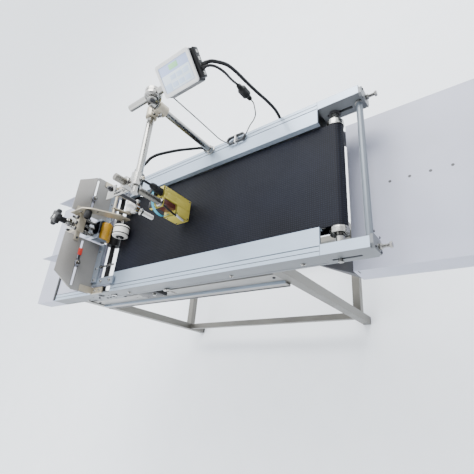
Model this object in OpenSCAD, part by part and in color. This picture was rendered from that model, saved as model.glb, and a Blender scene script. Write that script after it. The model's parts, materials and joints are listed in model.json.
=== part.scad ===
// Friction-feed bag conveyor with an on-line thermal ink jet date coder.
// X runs along the belt from the feeder to the output tray, Y runs across it from the
// operator's side to the back, and Z is up. Sizes are in millimetres.

/* [Conveyor] */
// Height of the belt's top above the floor
belt_height = 760; // [700:10:820]
// Width over the outer faces of the two side rails
frame_w = 400; // [396:1:404]
// Width of the belt
belt_w = 264; // [260:1:266]
// Height of a side rail
rail_h = 55; // [54:1:58]
// Length of the side rails
rail_len = 1032; // [1028:1:1036]
// Length of the tail brackets that carry the tail roller
tail_len = 100; // [96:1:104]
// Outer diameter of the belt where it turns round the end rollers
turn_d = 37; // [36:0.5:38]

/* [Stand] */
// Side of the square stand tube
leg_size = 28; // [26:1:30]
// Distance from the left legs' outer face to the right legs' outer face
stand_len = 871; // [860:1:880]
// Height of the low tie bars' underside above the floor
tie_height = 77; // [60:1:100]

/* [Tables] */
// Length of the input table
table_len = 121; // [115:1:130]
// Length of the output tray
tray_len = 313; // [305:1:320]
// Drop from the belt's top to the output tray
tray_drop = 100; // [90:1:110]
// Depth of the output tray's flanges
tray_flange = 65; // [55:1:70]

/* [Feeder gate] */
// Height of the baffles' underside above the belt
gate_gap = 23; // [22:1:24]
// Distance from the middle to each side guide
guide_y = 104; // [100:1:108]
// Diameter of the separator roller
separator_d = 42; // [40:1:42]

/* [Print station] */
// Diameter of the post and the rods
rod_d = 18; // [16:0.5:19]
// Height of the print head's underside above the belt
head_gap = 8; // [7:1:12]
// Width of the touch screen's housing
screen_w = 102; // [98:1:108]
// Height of the touch screen's housing
screen_h = 72; // [68:1:76]

/* [Hidden] */
$fn = 48;

// The design frame has X = 0 at the right end of the side rails, Y = 0 in the middle
// of the belt and Z = 0 at the belt's top. origin_x moves it to the middle of the part.
gap = 0.3;              // clearance between neighbouring bodies
running = 0.05;         // radial clearance of a shaft in its bore
half_w = frame_w / 2;
cover_z = 16;           // top of the rails and covers
rail_z0 = cover_z - rail_h;
wall = 4;               // rail wall
lip_w = 20;             // width of the rail's raised outer lip
cover_in = 63;          // from the rail's outer face to the cover's inner edge
cover_x0 = -700;
deck_z = cover_z - 1;   // top of the feed deck
floor_z = -belt_height;

table_x0 = -rail_len - 2 - table_len;
tray_x0 = 25;
tray_x1 = tray_x0 + tray_len;
origin_x = (table_x0 + tray_x1) / 2;

belt_t = 2;
roller_r = turn_d / 2 - belt_t;
axis_z = -turn_d / 2;
drive_x = -719;
tail_x = 30;
return_r = 12;
return_x = -360;
return_z = -turn_d - return_r - gap;
feed_r = 20;
feed_x = -772;
feed_z = deck_z - 2 - feed_r;
shaft_r = 8;

motor_x = -640;         // gear motor under the belt, and its toothed belt drive
motor_z = -92;
pulley_y = belt_w / 2 + 10;
motor_pulley_r = 10;
driven_r = 15;

leg_y = 177;            // outer face of a leg
leg_x0 = -1025;
leg_x1 = leg_x0 + stand_len;
tie_z = floor_z + tie_height;
lower_z1 = -115;
lower_z0 = -190;

gate_x = -795;          // baffle plane
gate_z = gate_gap;
gate_top = 156;
baffle_t = 3;
slot_z = 93;
guide_x0 = -912;
sep_y = 7;
sep_z = feed_z + feed_r + 2 + separator_d / 2;
block_x0 = -850;
block_x1 = -778;
block_z0 = 106;
block_z1 = 130;
arm_x0 = -812;           // left end of the side arm plate
arm_z1 = 148;           // top of the side arm plate
guide_x = feed_x - 14;  // the carriage's three guide rods
carriage_z = sep_z + separator_d / 2 + 6;
knob_x = -820;
knob_y = 12;
arm_y = 42;             // front face of the side arm plate
press_x = -692;
press_r = 26;
press_y = -2;
rear_press_r = 13;
rear_press_y = 96;

rod_r = rod_d / 2;
post_x = -338;
post_y = 190;
swivel_x = -317;
head_arm_x = -372;
head_arm_z = 215;
display_arm_z = 258;
gland_x = -354;
clip_x = -401;
clip_y = 15;
head_rod_x = -405;
head_rod_y = -15;
head_x0 = -446;
head_x1 = -400;
head_y0 = -26;
head_y1 = 38;
head_z1 = head_gap + 104;
sensor_x = -500;
sensor_y = -12;
sensor_rod_y = 7;
screen_tilt = 47.5;     // lean of the screen's face from the vertical
screen_x = -203;
screen_t = 30;
screen_back = 11;       // from the arm's axis to the housing's back
pipe_sides = 8;

// Middle of the part across the belt: from the tail axle's nut to the screen's upper back edge
axle_end = half_w + 7.5;
screen_rear = post_y + screen_h / 2 * sin(screen_tilt) - screen_back * cos(screen_tilt);
origin_y = (max(axle_end, screen_rear) - axle_end) / 2;

// Route of each lead, as points in the design frame
display_route = [[-143.7, 172, 268], [-136, 172, 268], [-126, 176, 263], [-117, 181, 249],
    [-110, 188, 229], [-109, 195, 202], [-110, 201, 168], [-110, 205, 136], [-109, 209, 106],
    [-107, 212, 76], [-105, 212, 46], [-106, 210, 23], [-109, 205.5, 1], [-110, 204.5, -16]];
head_route = [[-401, 23.2, 205], [-401, 30, 205], [-400, 38, 200], [-398, 48, 193],
    [-394, 60, 187], [-389, 76, 181], [-385, 90, 171], [-382, 103, 158], [-376, 124, 133],
    [-370, 146, 105], [-363, 166, 76], [-357, 184, 50], [-354, 192, 37], [-354, 193, 32],
    [-354, 193, 25.3]];
pigtail_route = [[-401, 15, 146], [-401, 15, 160], [-401, 15, 176], [-401, 15, 190],
    [-401, 15, 204]];
power_route = [[-143.7, 163.5, 266.2], [-137, 163.5, 266.2], [-127, 164, 263], [-121, 167, 253],
    [-120, 173, 238], [-123, 182, 218], [-129, 192, 196], [-135, 203, 176], [-138, 210, 164],
    [-138, 211.5, 156]];
thin_route_a = [[-138, 211.5, 102], [-139, 211.5, 88], [-147, 211.5, 70], [-157, 211, 52],
    [-172, 209, 39], [-188, 204, 32], [-200, 196, 26], [-209, 188.5, 22]];
thin_route_b = [[-271, 187, 21.5], [-280, 191, 27], [-286, 193, 45], [-288, 196, 90],
    [-289, 198, 140], [-289, 198, 190], [-288, 197, 220], [-286, 194, 238], [-285, 190, 249]];

module machine() translate([-origin_x, -origin_y, belt_height]) children();
module box(x, y, z) translate([x[0], y[0], z[0]])
    cube([x[1] - x[0], y[1] - y[0], z[1] - z[0]]);
module rod_x(x, y, z, r) translate([x[0], y, z]) rotate([0, 90, 0])
    cylinder(h = x[1] - x[0], r = r);
module rod_y(x, y, z, r) translate([x, y[0], z]) rotate([-90, 0, 0])
    cylinder(h = y[1] - y[0], r = r);
module rod_z(x, y, z, r) translate([x, y, z[0]]) cylinder(h = z[1] - z[0], r = r);
module both_sides() { children(); mirror([0, 1, 0]) children(); }

// An outline of x and z, extruded from y[0] to y[1]
module plate_xz(points, y) {
    translate([0, y[1], 0]) rotate([90, 0, 0]) linear_extrude(y[1] - y[0]) polygon(points);
}

// An outline of y and z, extruded from x[0] to x[1]
module plate_yz(points, x) {
    translate([x[0], 0, 0]) rotate([90, 0, 90]) linear_extrude(x[1] - x[0]) polygon(points);
}

// A round tube of radius r along a route of points
function unit(v) = v / norm(v);
function route_dir(p, i) = unit(p[min(i + 1, len(p) - 1)] - p[max(i - 1, 0)]);
function side_dir(t) = abs(t[2]) < 0.9 ? unit(cross(t, [0, 0, 1])) : unit(cross(t, [0, 1, 0]));
function carried(p, i) = i == 0 ? side_dir(route_dir(p, 0)) :
    let (t = route_dir(p, i), s = carried(p, i - 1)) unit(s - (s * t) * t);
module tube_along(p, r) {
    n = pipe_sides;
    rings = [for (i = [0:len(p) - 1]) let (t = route_dir(p, i), a = carried(p, i), b = cross(t, a))
        for (k = [0:n - 1]) p[i] + r * (cos(360 * k / n) * a + sin(360 * k / n) * b)];
    walls = [for (i = [0:len(p) - 2], k = [0:n - 1])
        [i * n + k, i * n + (k + 1) % n, (i + 1) * n + (k + 1) % n, (i + 1) * n + k]];
    start = [for (k = [0:n - 1]) n - 1 - k];
    finish = [for (k = [0:n - 1]) (len(p) - 1) * n + k];
    polyhedron(points = rings, faces = concat([start], walls, [finish]), convexity = 6);
}

// ---- Conveyor frame ----

// Cross-section of a side rail: w is measured inwards from the outer face
function rail_outline() = [[0, rail_z0], [0, cover_z], [lip_w, cover_z], [lip_w, 12.8],
    [58, 12.8], [58, 9], [wall, 9], [wall, rail_z0 + wall], [40, rail_z0 + wall], [40, rail_z0]];

module rail_body() {
    difference() {
        union() {
            plate_yz([for (q = rail_outline()) [q[0] - half_w, q[1]]], [-rail_len, 0]);
            // deeper side plate at the feeder, with the accessory holes
            box([-850, -705], [-half_w, -half_w + wall], [-54, rail_z0 + 1]);
        }
        // groove along the outer face and along the top lip
        box([-rail_len - 1, 1], [-half_w - 1, -half_w + 0.8], [-30.5, -29]);
        box([-rail_len - 1, 1], [-half_w + 9, -half_w + 10.5], [cover_z - 0.8, cover_z + 1]);
        // the flange is notched round the feeder's shaft plates
        box([-860, -700], [-half_w + wall, -half_w + 41], [rail_z0 - 1, rail_z0 + wall + 1]);
        box([-802, -701], [-half_w + wall, -half_w + 59], [8, cover_z + 1]);
        // shaft holes
        for (c = [[drive_x, axis_z], [feed_x, feed_z]])
            rod_y(c[0], [-half_w - 1, -half_w + wall + 1], c[1], shaft_r + 3);
        rod_y(return_x, [-half_w - 1, -half_w + wall + 1], rail_z0 + 9, 2.5);
        // accessory holes
        for (x = [-828, -745], z = [-14, -44])
            rod_y(x, [-half_w - 1, -half_w + wall + 1], z, 3);
    }
}

module front_rail() color("lightsteelblue") machine() rail_body();
module rear_rail() color("lightsteelblue") machine() mirror([0, 1, 0]) rail_body();

module cover_strips() color("lightsteelblue") machine() both_sides() {
    outline = [[lip_w + 2, 13], [lip_w + 2, cover_z], [cover_in, cover_z], [cover_in, 1],
        [cover_in - 3, 1], [cover_in - 3, 13]];
    plate_yz([for (q = outline) [q[0] - half_w, q[1]]], [cover_x0, 0]);
}

// Hollow end brackets with a slot for the take-up of the tail axle
module tail_brackets() color("lightsteelblue") machine() {
    end_plates();
    both_sides() bracket_tube();
}
module bracket_tube() difference() {
    box([0.2, tail_len], [-half_w, -half_w + 24], [rail_z0, cover_z]);
    box([-1, tail_len + 1], [-half_w + wall, -half_w + 20], [rail_z0 + wall, cover_z - 3]);
    box([12, 74], [-half_w - 1, -half_w + 25], [axis_z - 4.1, axis_z + 4.1]);
    rod_y(tail_x, [-half_w + 19, -half_w + 25], axis_z, 10.05);
}

module end_plates() both_sides() difference() {
    plate_yz([[-half_w, rail_z0 + 6], [-half_w, cover_z - 8], [-half_w + 8, cover_z],
        [-half_w + 24, cover_z], [-half_w + 30, cover_z - 6], [-half_w + 30, rail_z0 + 8],
        [-half_w + 22, rail_z0], [-half_w + 6, rail_z0]], [tail_len, tail_len + 6]);
    rod_x([tail_len - 1, tail_len + 7], -half_w + 12, axis_z, 4 + running);
}

module tail_crossbar() color("gainsboro") machine()
    rod_y(92, [-half_w + 24, half_w - 24], -12, 7.5);

module tension_bolt() {
    rod_x([tail_x + 14, tail_len + 26], -half_w + 12, axis_z, 4);
    translate([tail_len + 26, -half_w + 12, axis_z]) rotate([0, 90, 0]) cylinder(h = 5, r = 7, $fn = 6);
}
module front_tension_bolt() color("gainsboro") machine() tension_bolt();
module rear_tension_bolt() color("gainsboro") machine() mirror([0, 1, 0]) tension_bolt();

// ---- Belt and rollers ----

module loop_outline(r) {
    translate([drive_x, axis_z]) circle(r);
    translate([tail_x, axis_z]) circle(r);
    translate([drive_x, axis_z - r]) square([tail_x - drive_x, 2 * r]);
}

module conveyor_belt() color([0.13, 0.14, 0.19]) machine()
    translate([0, belt_w / 2, 0]) rotate([90, 0, 0]) linear_extrude(belt_w) difference() {
        loop_outline(turn_d / 2);
        loop_outline(roller_r + gap);
    }

module belt_bed() color("gainsboro") machine() {
    box([drive_x + 24, tail_x - 26], [-belt_w / 2, belt_w / 2], [-belt_t - 3.4, -belt_t - 0.4]);
    for (x = [-640, -360, -80])
        box([x - 15, x + 15], [-half_w + wall, half_w - wall], [-belt_t - 9.4, -belt_t - 3.4]);
}

module drive_roller() color("darkgray") machine() {
    rod_y(drive_x, [-belt_w / 2, belt_w / 2], axis_z, roller_r);
    rod_y(drive_x, [-half_w - 1.5, half_w - 8], axis_z, shaft_r);
    // driven pulley
    rod_y(drive_x, [pulley_y, pulley_y + 16], axis_z, driven_r);
}

module roller_bearings() color("dimgray") machine() {
    return_hangers();
    both_sides() for (c = [[drive_x, axis_z], [feed_x, feed_z]]) difference() {
        union() {
            rod_y(c[0], [-half_w + wall + 0.2, -half_w + 16], c[1], 17);
            rod_y(c[0], [-half_w - 1, -half_w + wall + 1], c[1], shaft_r + 3);
        }
        rod_y(c[0], [-half_w - 2, -half_w + 17], c[1], shaft_r + running);
    }
}
// Plates under the rails that carry the return roller
module return_hangers() both_sides() difference() {
    box([return_x - 15, return_x + 15], [-165, -159], [return_z - 13, rail_z0]);
    rod_y(return_x, [-166, -158], return_z, 5 + running);
}

// Two straight runs and two round ends between the pulleys
drive_dx = motor_x - drive_x;
drive_dz = motor_z - axis_z;
drive_lean = atan2(drive_dz, drive_dx);
drive_swing = acos((driven_r - motor_pulley_r) / norm([drive_dx, drive_dz]));
function arc(c, r, from, to) = [for (k = [0:12]) let (t = from + (to - from) * k / 12)
    [c[0] + r * cos(t), c[1] + r * sin(t)]];
function round_both(extra) = concat(
    arc([0, 0], driven_r + extra, drive_lean + drive_swing, drive_lean + 360 - drive_swing),
    arc([drive_dx, drive_dz], motor_pulley_r + extra, drive_lean - drive_swing, drive_lean + drive_swing));
module timing_belt() color([0.1, 0.1, 0.1]) machine()
    translate([drive_x, pulley_y + 14, axis_z]) rotate([90, 0, 0]) linear_extrude(12) difference() {
        polygon(round_both(1.8));
        polygon(round_both(gap));
    }

module drive_motor() color([0.13, 0.13, 0.14]) machine() difference() {
    union() {
        // gearbox, motor body and the black control box beside it
        box([motor_x - 28, motor_x + 28], [60, pulley_y - 6], [motor_z - 28, rail_z0 - 4]);
        rod_y(motor_x, [-60, 60], motor_z, 30);
        box([motor_x - 28, motor_x + 61], [-half_w + 8, -60], [motor_z - 22, rail_z0 - 1]);
        // cross plate bolted under the two rails, and the motor's foot
        box([motor_x - 28, motor_x + 28], [-half_w + 2, half_w - 2], [rail_z0 - 5, rail_z0]);
        box([motor_x - 20, motor_x + 20], [20, 56], [motor_z + 20, rail_z0 - 4]);
    }
    rod_y(motor_x, [pulley_y - 64, pulley_y], motor_z, 5 + running);
    // room for the rotor
    rod_y(motor_x, [pulley_y - 63, pulley_y - 33], motor_z, 24.4);
}

module motor_pulley() color("silver") machine() {
    rod_y(motor_x, [pulley_y - 62, pulley_y + 16], motor_z, 5);
    // rotor inside the gear motor
    rod_y(motor_x, [pulley_y - 62, pulley_y - 34], motor_z, 24);
    rod_y(motor_x, [pulley_y, pulley_y + 16], motor_z, motor_pulley_r);
}

module tail_axle() color("silver") machine() {
    rod_y(tail_x, [-half_w + 19.5, half_w - 19.5], axis_z, 10);
    rod_y(tail_x, [-half_w - 4, half_w + 4], axis_z, 4);
    // take-up blocks that the tension bolts press on
    both_sides() box([tail_x - 10, tail_x + 14], [-half_w + 6, -half_w + 18], [axis_z - 10, axis_z + 10]);
    both_sides() translate([tail_x, -half_w - 4, axis_z]) rotate([90, 0, 0])
        cylinder(h = 3.5, r = 6.5, $fn = 6);
}

module tail_roller() color("gainsboro") machine() difference() {
    union() {
        rod_y(tail_x, [-belt_w / 2, belt_w / 2], axis_z, roller_r);
        both_sides() rod_y(tail_x, [-belt_w / 2 - 15, -belt_w / 2 - 0.6], axis_z, 20);
        both_sides() rod_y(tail_x, [-belt_w / 2 - 1, -belt_w / 2 + 1], axis_z, 14);
    }
    rod_y(tail_x, [-belt_w, belt_w], axis_z, 10 + running);
}

module return_roller() color("gainsboro") machine() {
    rod_y(return_x, [-belt_w / 2, belt_w / 2], return_z, return_r);
    rod_y(return_x, [-165, 165], return_z, 5);
}

// ---- Stand ----

module legs(x) both_sides() box([x, x + leg_size], [-leg_y, -leg_y + leg_size], [floor_z, rail_z0]);
module left_legs() color("tan") machine() legs(leg_x0);
module right_legs() color("tan") machine() legs(leg_x1 - leg_size);

module low_tie_bars() color("tan") machine() {
    z = [tie_z, tie_z + leg_size];
    for (x = [leg_x0, leg_x1 - leg_size])
        box([x, x + leg_size], [-leg_y + leg_size, leg_y - leg_size], z);
    both_sides() box([leg_x0 + leg_size, leg_x1 - leg_size], [-leg_y + 3, -leg_y + leg_size - 3],
        [z[0] + 3, z[1] - 3]);
}

// Folded upper rails that join the legs under the conveyor
module lower_rails() color("slategray") machine() both_sides() {
    x = [leg_x0 + leg_size, leg_x1 - leg_size];
    w0 = -leg_y + 3;
    difference() {
        box(x, [w0, w0 + 3], [lower_z0 + 20, lower_z1]);
        for (hole_x = [-760, -730])
            rod_y(hole_x, [w0 - 1, w0 + 4], lower_z1 - 22, 3);
    }
    box(x, [w0, w0 + 24], [lower_z1 - 3, lower_z1]);
    box(x, [w0 - 9, w0 + 3], [lower_z0 + 20, lower_z0 + 23]);
    box(x, [w0 - 9, w0 - 6], [lower_z0 - 3, lower_z0 + 23]);
    box(x, [w0 - 9, w0 + 20], [lower_z0 - 3, lower_z0]);
}

// ---- Tables ----

module output_tray() color("lavender") machine() difference() {
    z = -tray_drop;
    box([tray_x0, tray_x1], [-half_w, half_w], [z - tray_flange, z]);
    box([tray_x0 - 1, tray_x1 - 2], [-half_w + 2, half_w - 2], [z - tray_flange - 1, z - 2]);
    for (k = [0:3])
        rod_z((tray_x0 + tray_x1) / 2 + (k - 1.5) * 41.5, 0, [z - 3, z + 1], 2.25);
}

// Inclined straps that hang the tray from the rails
module tray_brackets() color([0.3, 0.3, 0.32]) machine() both_sides() {
    low = -tray_drop - tray_flange;
    plate_xz([[-30, rail_z0], [8, rail_z0], [8, rail_z0 - 4], [-24, rail_z0 - 4],
        [tray_x0 + 3, low + 30], [tray_x0 + 3, low + 2], [tray_x0 - 1, low + 2]],
        [-half_w + 2.1, -half_w + 38]);
}

module input_table() color("lavender") machine() difference() {
    x = [table_x0, -rail_len - 2];
    box(x, [-half_w, half_w], [rail_z0, cover_z]);
    box([x[0] + 2, x[1] + 1], [-half_w + 2, half_w - 2], [rail_z0 - 1, cover_z - 2]);
}

module feed_deck() color("lavender") machine() {
    w = half_w - lip_w - 2;
    box([-rail_len, -803], [-w, w], [deck_z - 2, deck_z]);
    // support rod under the deck's edge
    rod_y(-797, [-half_w + wall, half_w - wall], 0, 5);
    // narrow plates that carry the edge on the rails
    both_sides() box([-800.5, cover_x0 - 1], [-w, -w + 28], [deck_z - 5, cover_z + 4]);
}

// ---- Feeder gate ----

module gate_brackets() color("wheat") machine() both_sides() difference() {
    plate_xz([[gate_x + 3.2, cover_z], [gate_x + 3.2, gate_z + 42], [gate_x + 7, gate_z + 42],
        [gate_x + 7, cover_z + 4], [gate_x + 58, cover_z + 4], [gate_x + 58, cover_z]],
        [-half_w, -half_w + lip_w]);
    for (x = [gate_x + 18, gate_x + 44])
        rod_z(x, -half_w + lip_w / 2, [cover_z - 1, cover_z + 5], 2.6);
}

module baffle(y_in, clip) difference() {
    plate_yz([[-y_in, gate_z], [-y_in, gate_top], [-160, gate_top], [-half_w - 2, gate_z + 68],
        [-half_w - 2, gate_z + 10 + clip], [-half_w + 14, gate_z]], [gate_x, gate_x + baffle_t]);
    box([gate_x - 1, gate_x + baffle_t + 1], [-190, -y_in - 8], [slot_z - 4.2, slot_z + 4.2]);
}
module front_baffle() color("gray") machine() baffle(32, 0);
module rear_baffle() color("gray") machine() mirror([0, 1, 0]) baffle(50, 10);

// An L-shaped sheet that stands along the stack, clamped through the baffle's slot
module side_guide() {
    x1 = gate_x - gap;
    plate_xz([[guide_x0, 147], [x1, 147], [x1, 25], [guide_x0 + 40, 25]],
        [-guide_y, -guide_y + 2]);
    box([x1 - 2, x1], [-guide_y - 26, -guide_y + 1], [slot_z - 16, slot_z + 16]);
    rod_x([x1 - 1, gate_x + baffle_t + 1], -guide_y - 13, slot_z, 3.6);
    rod_x([gate_x + baffle_t + gap, gate_x + baffle_t + 4], -guide_y - 13, slot_z, 9);
    translate([gate_x + baffle_t + 3.5, -guide_y - 13, slot_z]) rotate([0, 90, 0])
        cylinder(h = 6, r = 6.5, $fn = 6);
}
module front_side_guide() color("thistle") machine() side_guide();
module rear_side_guide() color("thistle") machine() mirror([0, 1, 0]) side_guide();

// Cross bar in two halves on the gate's downstream side, with its foot plates and a guide rod
module gate_bar() color("lightsteelblue") machine() {
    for (y = [[-166, -34], [52, 166]])
        box([gate_x + baffle_t, gate_x + 31], y, [gate_z + 1, gate_z + 8]);
    both_sides() box([gate_x + baffle_t, gate_x + 112], [-176, -152], [cover_z + 4, gate_z + 2]);
    rod_x([gate_x + 28, gate_x + 104], -116, gate_z + 6, 3);
}

module separator_block() color("linen") machine() difference() {
    union() {
        box([block_x0, block_x1], [-20, arm_y], [block_z0, block_z1]);
        rod_z(knob_x, knob_y, [block_z1 - 1, block_z1 + 23], 13);
        for (s = [-1, 1])
            rod_z(knob_x + s * 9, knob_y + s * 22, [block_z1 - 1, block_z1 + 6], 3.5);
        // tongue bolted to the front baffle
        box([gate_x + baffle_t, gate_x + baffle_t + 5], [-48, arm_y], [block_z0 + 4, block_z1 - 4]);
    }
    rod_z(knob_x, knob_y, [block_z0 - 1, block_z1 + 24], 4 + running);
    for (y = [sep_y - 20, sep_y, sep_y + 20])
        rod_z(guide_x, y, [block_z0 - 1, block_z1 + 1], 4 + running);
}

module star_knob() color([0.09, 0.09, 0.1]) machine() translate([knob_x, knob_y, 0]) {
    translate([0, 0, carriage_z - 3]) cylinder(h = block_z1 - carriage_z + 40, r = 4);
    translate([0, 0, block_z1 + 23.3]) cylinder(h = 24, r = 10);
    translate([0, 0, block_z1 + 46]) cylinder(h = 17, r = 22);
    for (k = [0:5]) rotate([0, 0, 60 * k]) translate([20, 0, block_z1 + 46]) cylinder(h = 17, r = 8);
}

module separator_carriage() color("lightsteelblue") machine() difference() {
    union() {
        // inverted U that holds the roller, with the screw's lug and three guide rods
        box([feed_x - 62, feed_x + 18], [sep_y - 20, sep_y + 28], [carriage_z, carriage_z + 6]);
        box([feed_x - 20, feed_x + 18], [sep_y - 35, sep_y + 35], [carriage_z, carriage_z + 6]);
        for (y = [sep_y - 35, sep_y + 31])
            box([feed_x - 20, feed_x + 16], [y, y + 4], [sep_z - 9, carriage_z + 1]);
        for (y = [sep_y - 20, sep_y, sep_y + 20])
            rod_z(guide_x, y, [carriage_z + 5, block_z1 + 8], 4);
        rod_y(feed_x, [sep_y - 37, sep_y + 37], sep_z, 6);
    }
    rod_z(knob_x, knob_y, [carriage_z - 1, carriage_z + 7], 4 + running);
}

module separator_roller() color("goldenrod") machine() difference() {
    rod_y(feed_x, [sep_y - 30.5, sep_y + 30.5], sep_z, separator_d / 2);
    rod_y(feed_x, [sep_y - 40, sep_y + 40], sep_z, 6 + running);
}

module lock_knob() color([0.09, 0.09, 0.1]) machine() {
    rod_y(-742, [arm_y - 27, arm_y - gap], 125, 11);
    rod_y(-742, [arm_y - 1, arm_y + 10], 125, 3);
}

module arm_plate() color("wheat") machine() difference() {
    union() {
        // bracket for the second press roller
        rod_y(press_x - 12, [arm_y + 3, rear_press_y + 29], 62, 4.5);
        for (y = [rear_press_y - 28, rear_press_y + 25])
            plate_xz([[press_x - 19, 68], [press_x - 5, 68], [press_x + 8, 14], [press_x + 6, 6],
                [press_x - 6, 6], [press_x - 8, 14]], [y, y + 3]);
        // tab bolted to the rear baffle
        box([gate_x + baffle_t, gate_x + baffle_t + 5], [arm_y + 3, 66], [arm_z1 - 30, arm_z1 - 6]);
        side_arm();
    }
    rod_y(-742, [arm_y - 1, arm_y + 5], 125, 3 + running);
    rod_y(press_x, [arm_y - 1, arm_y + 5], press_r + 0.5, 5 + running);
    rod_y(press_x, [rear_press_y - 30, rear_press_y + 30], rear_press_r + 0.5, 4 + running);
}
module side_arm() difference() {
    plate_xz([[arm_x0, arm_z1], [-746, arm_z1], [-722, 128], [press_x + 16, 52],
        [press_x + 14, 12], [press_x - 14, 12], [press_x - 26, 48], [-752, 108],
        [arm_x0, 114]], [arm_y, arm_y + 4]);
    rod_y(-768, [arm_y - 1, arm_y + 5], 136, 3);
}

module front_press_roller() color("white") machine() {
    z = press_r + 0.5;
    rod_y(press_x, [press_y - 19, press_y + 19], z, press_r - 1);
    for (y = [press_y - 11, press_y + 11])
        rod_y(press_x, [y - 1.5, y + 1.5], z, press_r);
    rod_y(press_x, [press_y - 22, arm_y + 8], z, 5);
}

module rear_press_roller() color("white") machine() {
    z = rear_press_r + 0.5;
    rod_y(press_x, [rear_press_y - 22, rear_press_y + 22], z, rear_press_r);
    rod_y(press_x, [rear_press_y - 31, rear_press_y + 31], z, 4);
}

module feed_roller() color("dimgray") machine() {
    rod_y(feed_x, [sep_y - 34, sep_y + 34], feed_z, feed_r);
    rod_y(feed_x, [-half_w - 1.5, half_w + 1.5], feed_z, shaft_r);
}

// ---- Print station ----

module post() color("silver") machine() {
    rod_z(post_x, post_y, [cover_z, display_arm_z - 14], rod_r);
    rod_z(post_x, post_y, [cover_z, cover_z + 12], 11.5);
    // gland for the head's lead
    rod_z(gland_x, 193, [cover_z, cover_z + 9], 6);
}

module post_clamp() color("wheat") machine() difference() {
    union() {
        rod_z(post_x, post_y, [head_arm_z - 16, head_arm_z + 14], 15.5);
        rod_y(head_arm_x, [post_y - 15, post_y + 15], head_arm_z, 14.5);
        box([head_arm_x + 4, post_x - 4], [post_y - 11, post_y + 11], [head_arm_z - 10, head_arm_z + 10]);
        rod_y(post_x, [post_y - 22, post_y - 11], head_arm_z - 2, 5);
    }
    rod_z(post_x, post_y, [head_arm_z - 20, head_arm_z + 20], rod_r + 0.01);
    rod_y(head_arm_x, [post_y - 20, post_y + 20], head_arm_z, rod_r + 0.01);
}

module swivel_clamp() color("gainsboro") machine() difference() {
    union() {
        rod_y(swivel_x, [post_y - 14, post_y + 14], display_arm_z, 21);
        rod_y(swivel_x, [post_y - 18, post_y - 13], display_arm_z, 13);
        rod_z(post_x, post_y, [display_arm_z - 24, display_arm_z - 10], 13.5);
        box([post_x, swivel_x], [post_y - 10, post_y + 10], [display_arm_z - 22, display_arm_z - 8]);
    }
    rod_z(post_x, post_y, [display_arm_z - 25, display_arm_z - 14], rod_r + 0.01);
    rod_x([post_x - 30, swivel_x + 30], post_y, display_arm_z, rod_r + 0.01);
}

module display_arm() color("silver") machine()
    rod_x([-404, screen_x + 30], post_y, display_arm_z, rod_r);

// Local frame of the screen: x across, y up the screen, z out of its face
module on_screen() translate([screen_x, post_y, display_arm_z]) rotate([90 - screen_tilt, 0, 0])
    children();

module display_housing() color("whitesmoke") machine() on_screen() difference() {
    union() {
        translate([-screen_w / 2, -screen_h / 2, screen_back])
            cube([screen_w, screen_h, screen_t]);
        // clamp round the arm
        translate([-16, -13, -13]) cube([32, 26, screen_back + 14]);
        // connector strip on the right-hand side
        translate([screen_w / 2 - 1, -screen_h / 2 + 4, screen_back + 4])
            cube([9, screen_h - 8, screen_t - 12]);
    }
    rotate([0, 90, 0]) cylinder(h = 60, r = rod_r + running, center = true);
    // glass recess
    translate([-screen_w / 2 + 8, -screen_h / 2 + 8, screen_back + screen_t - 1])
        cube([screen_w - 16, screen_h - 16, 2]);
}

module head_arm() color("silver") machine()
    rod_y(head_arm_x, [-50, 207], head_arm_z, rod_r);

module cross_clamp() color("silver") machine() difference() {
    union() {
        rod_y(head_arm_x, [head_rod_y - 17, head_rod_y + 17], head_arm_z, 14.5);
        rod_z(head_rod_x, head_rod_y, [head_arm_z - 16, head_arm_z + 14], 15);
        box([head_rod_x + 4, head_arm_x - 4], [head_rod_y - 11, head_rod_y + 11],
            [head_arm_z - 10, head_arm_z + 10]);
        rod_x([head_arm_x + 12, head_arm_x + 22], head_rod_y, head_arm_z, 5);
        // flat for the sensor's arm, and a clip for the head's lead
        box([head_rod_x - 16, head_rod_x], [head_rod_y - 9, head_rod_y + 9],
            [head_arm_z - 16, head_arm_z - 8]);
        box([clip_x - 7, clip_x + 7], [head_rod_y + 10, clip_y + 8], [head_arm_z - 17, head_arm_z - 3]);
    }
    rod_z(clip_x, clip_y, [head_arm_z - 20, head_arm_z], 4);
    rod_z(head_rod_x, head_rod_y, [head_arm_z - 20, head_arm_z + 20], rod_r + running);
    rod_y(head_arm_x, [head_rod_y - 20, head_rod_y + 20], head_arm_z, rod_r + running);
}

module head_rod() color("silver") machine()
    rod_z(head_rod_x, head_rod_y, [head_z1, 256], rod_r);

module head_case() color("darkkhaki") machine() difference() {
    union() {
        // tall body, low nose on the operator's side, and the plate that the rod stands on
        box([head_x0, head_x1], [2, head_y1], [head_gap, head_z1]);
        box([head_x0, head_x1], [head_y0, 3], [head_gap, head_gap + 52]);
        box([head_x0, head_x1], [head_y0 + 2, 3], [head_z1 - 8, head_z1]);
        // connector on the top
        box([clip_x - 8, clip_x + 1], [clip_y - 10, clip_y + 10], [head_z1 - 1, head_z1 + 34]);
    }
    // open on the feeder's side, where the cartridge slides in
    box([head_x0 - 1, head_x1 - 2], [4, head_y1 - 2], [head_gap - 1, head_z1 - 4]);
    box([head_x0 - 1, head_x1 - 2], [head_y0 + 2, 5], [head_gap - 1, head_gap + 48]);
    // window in the face towards the tray
    box([head_x1 - 3, head_x1 + 1], [10, 24], [head_gap + 54, head_gap + 90]);
}

module ink_cartridge() color("brown") machine() {
    x = [head_x0 + 2, head_x1 - 3];
    box(x, [6, head_y1 - 4], [head_gap + 22, head_z1 - 7]);
    box(x, [head_y0 + 4, 7], [head_gap + 22, head_gap + 45]);
    box([x[0] + 6, x[1] - 6], [head_y0 + 6, head_y0 + 34], [head_gap + 1, head_gap + 23]);
}

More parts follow.
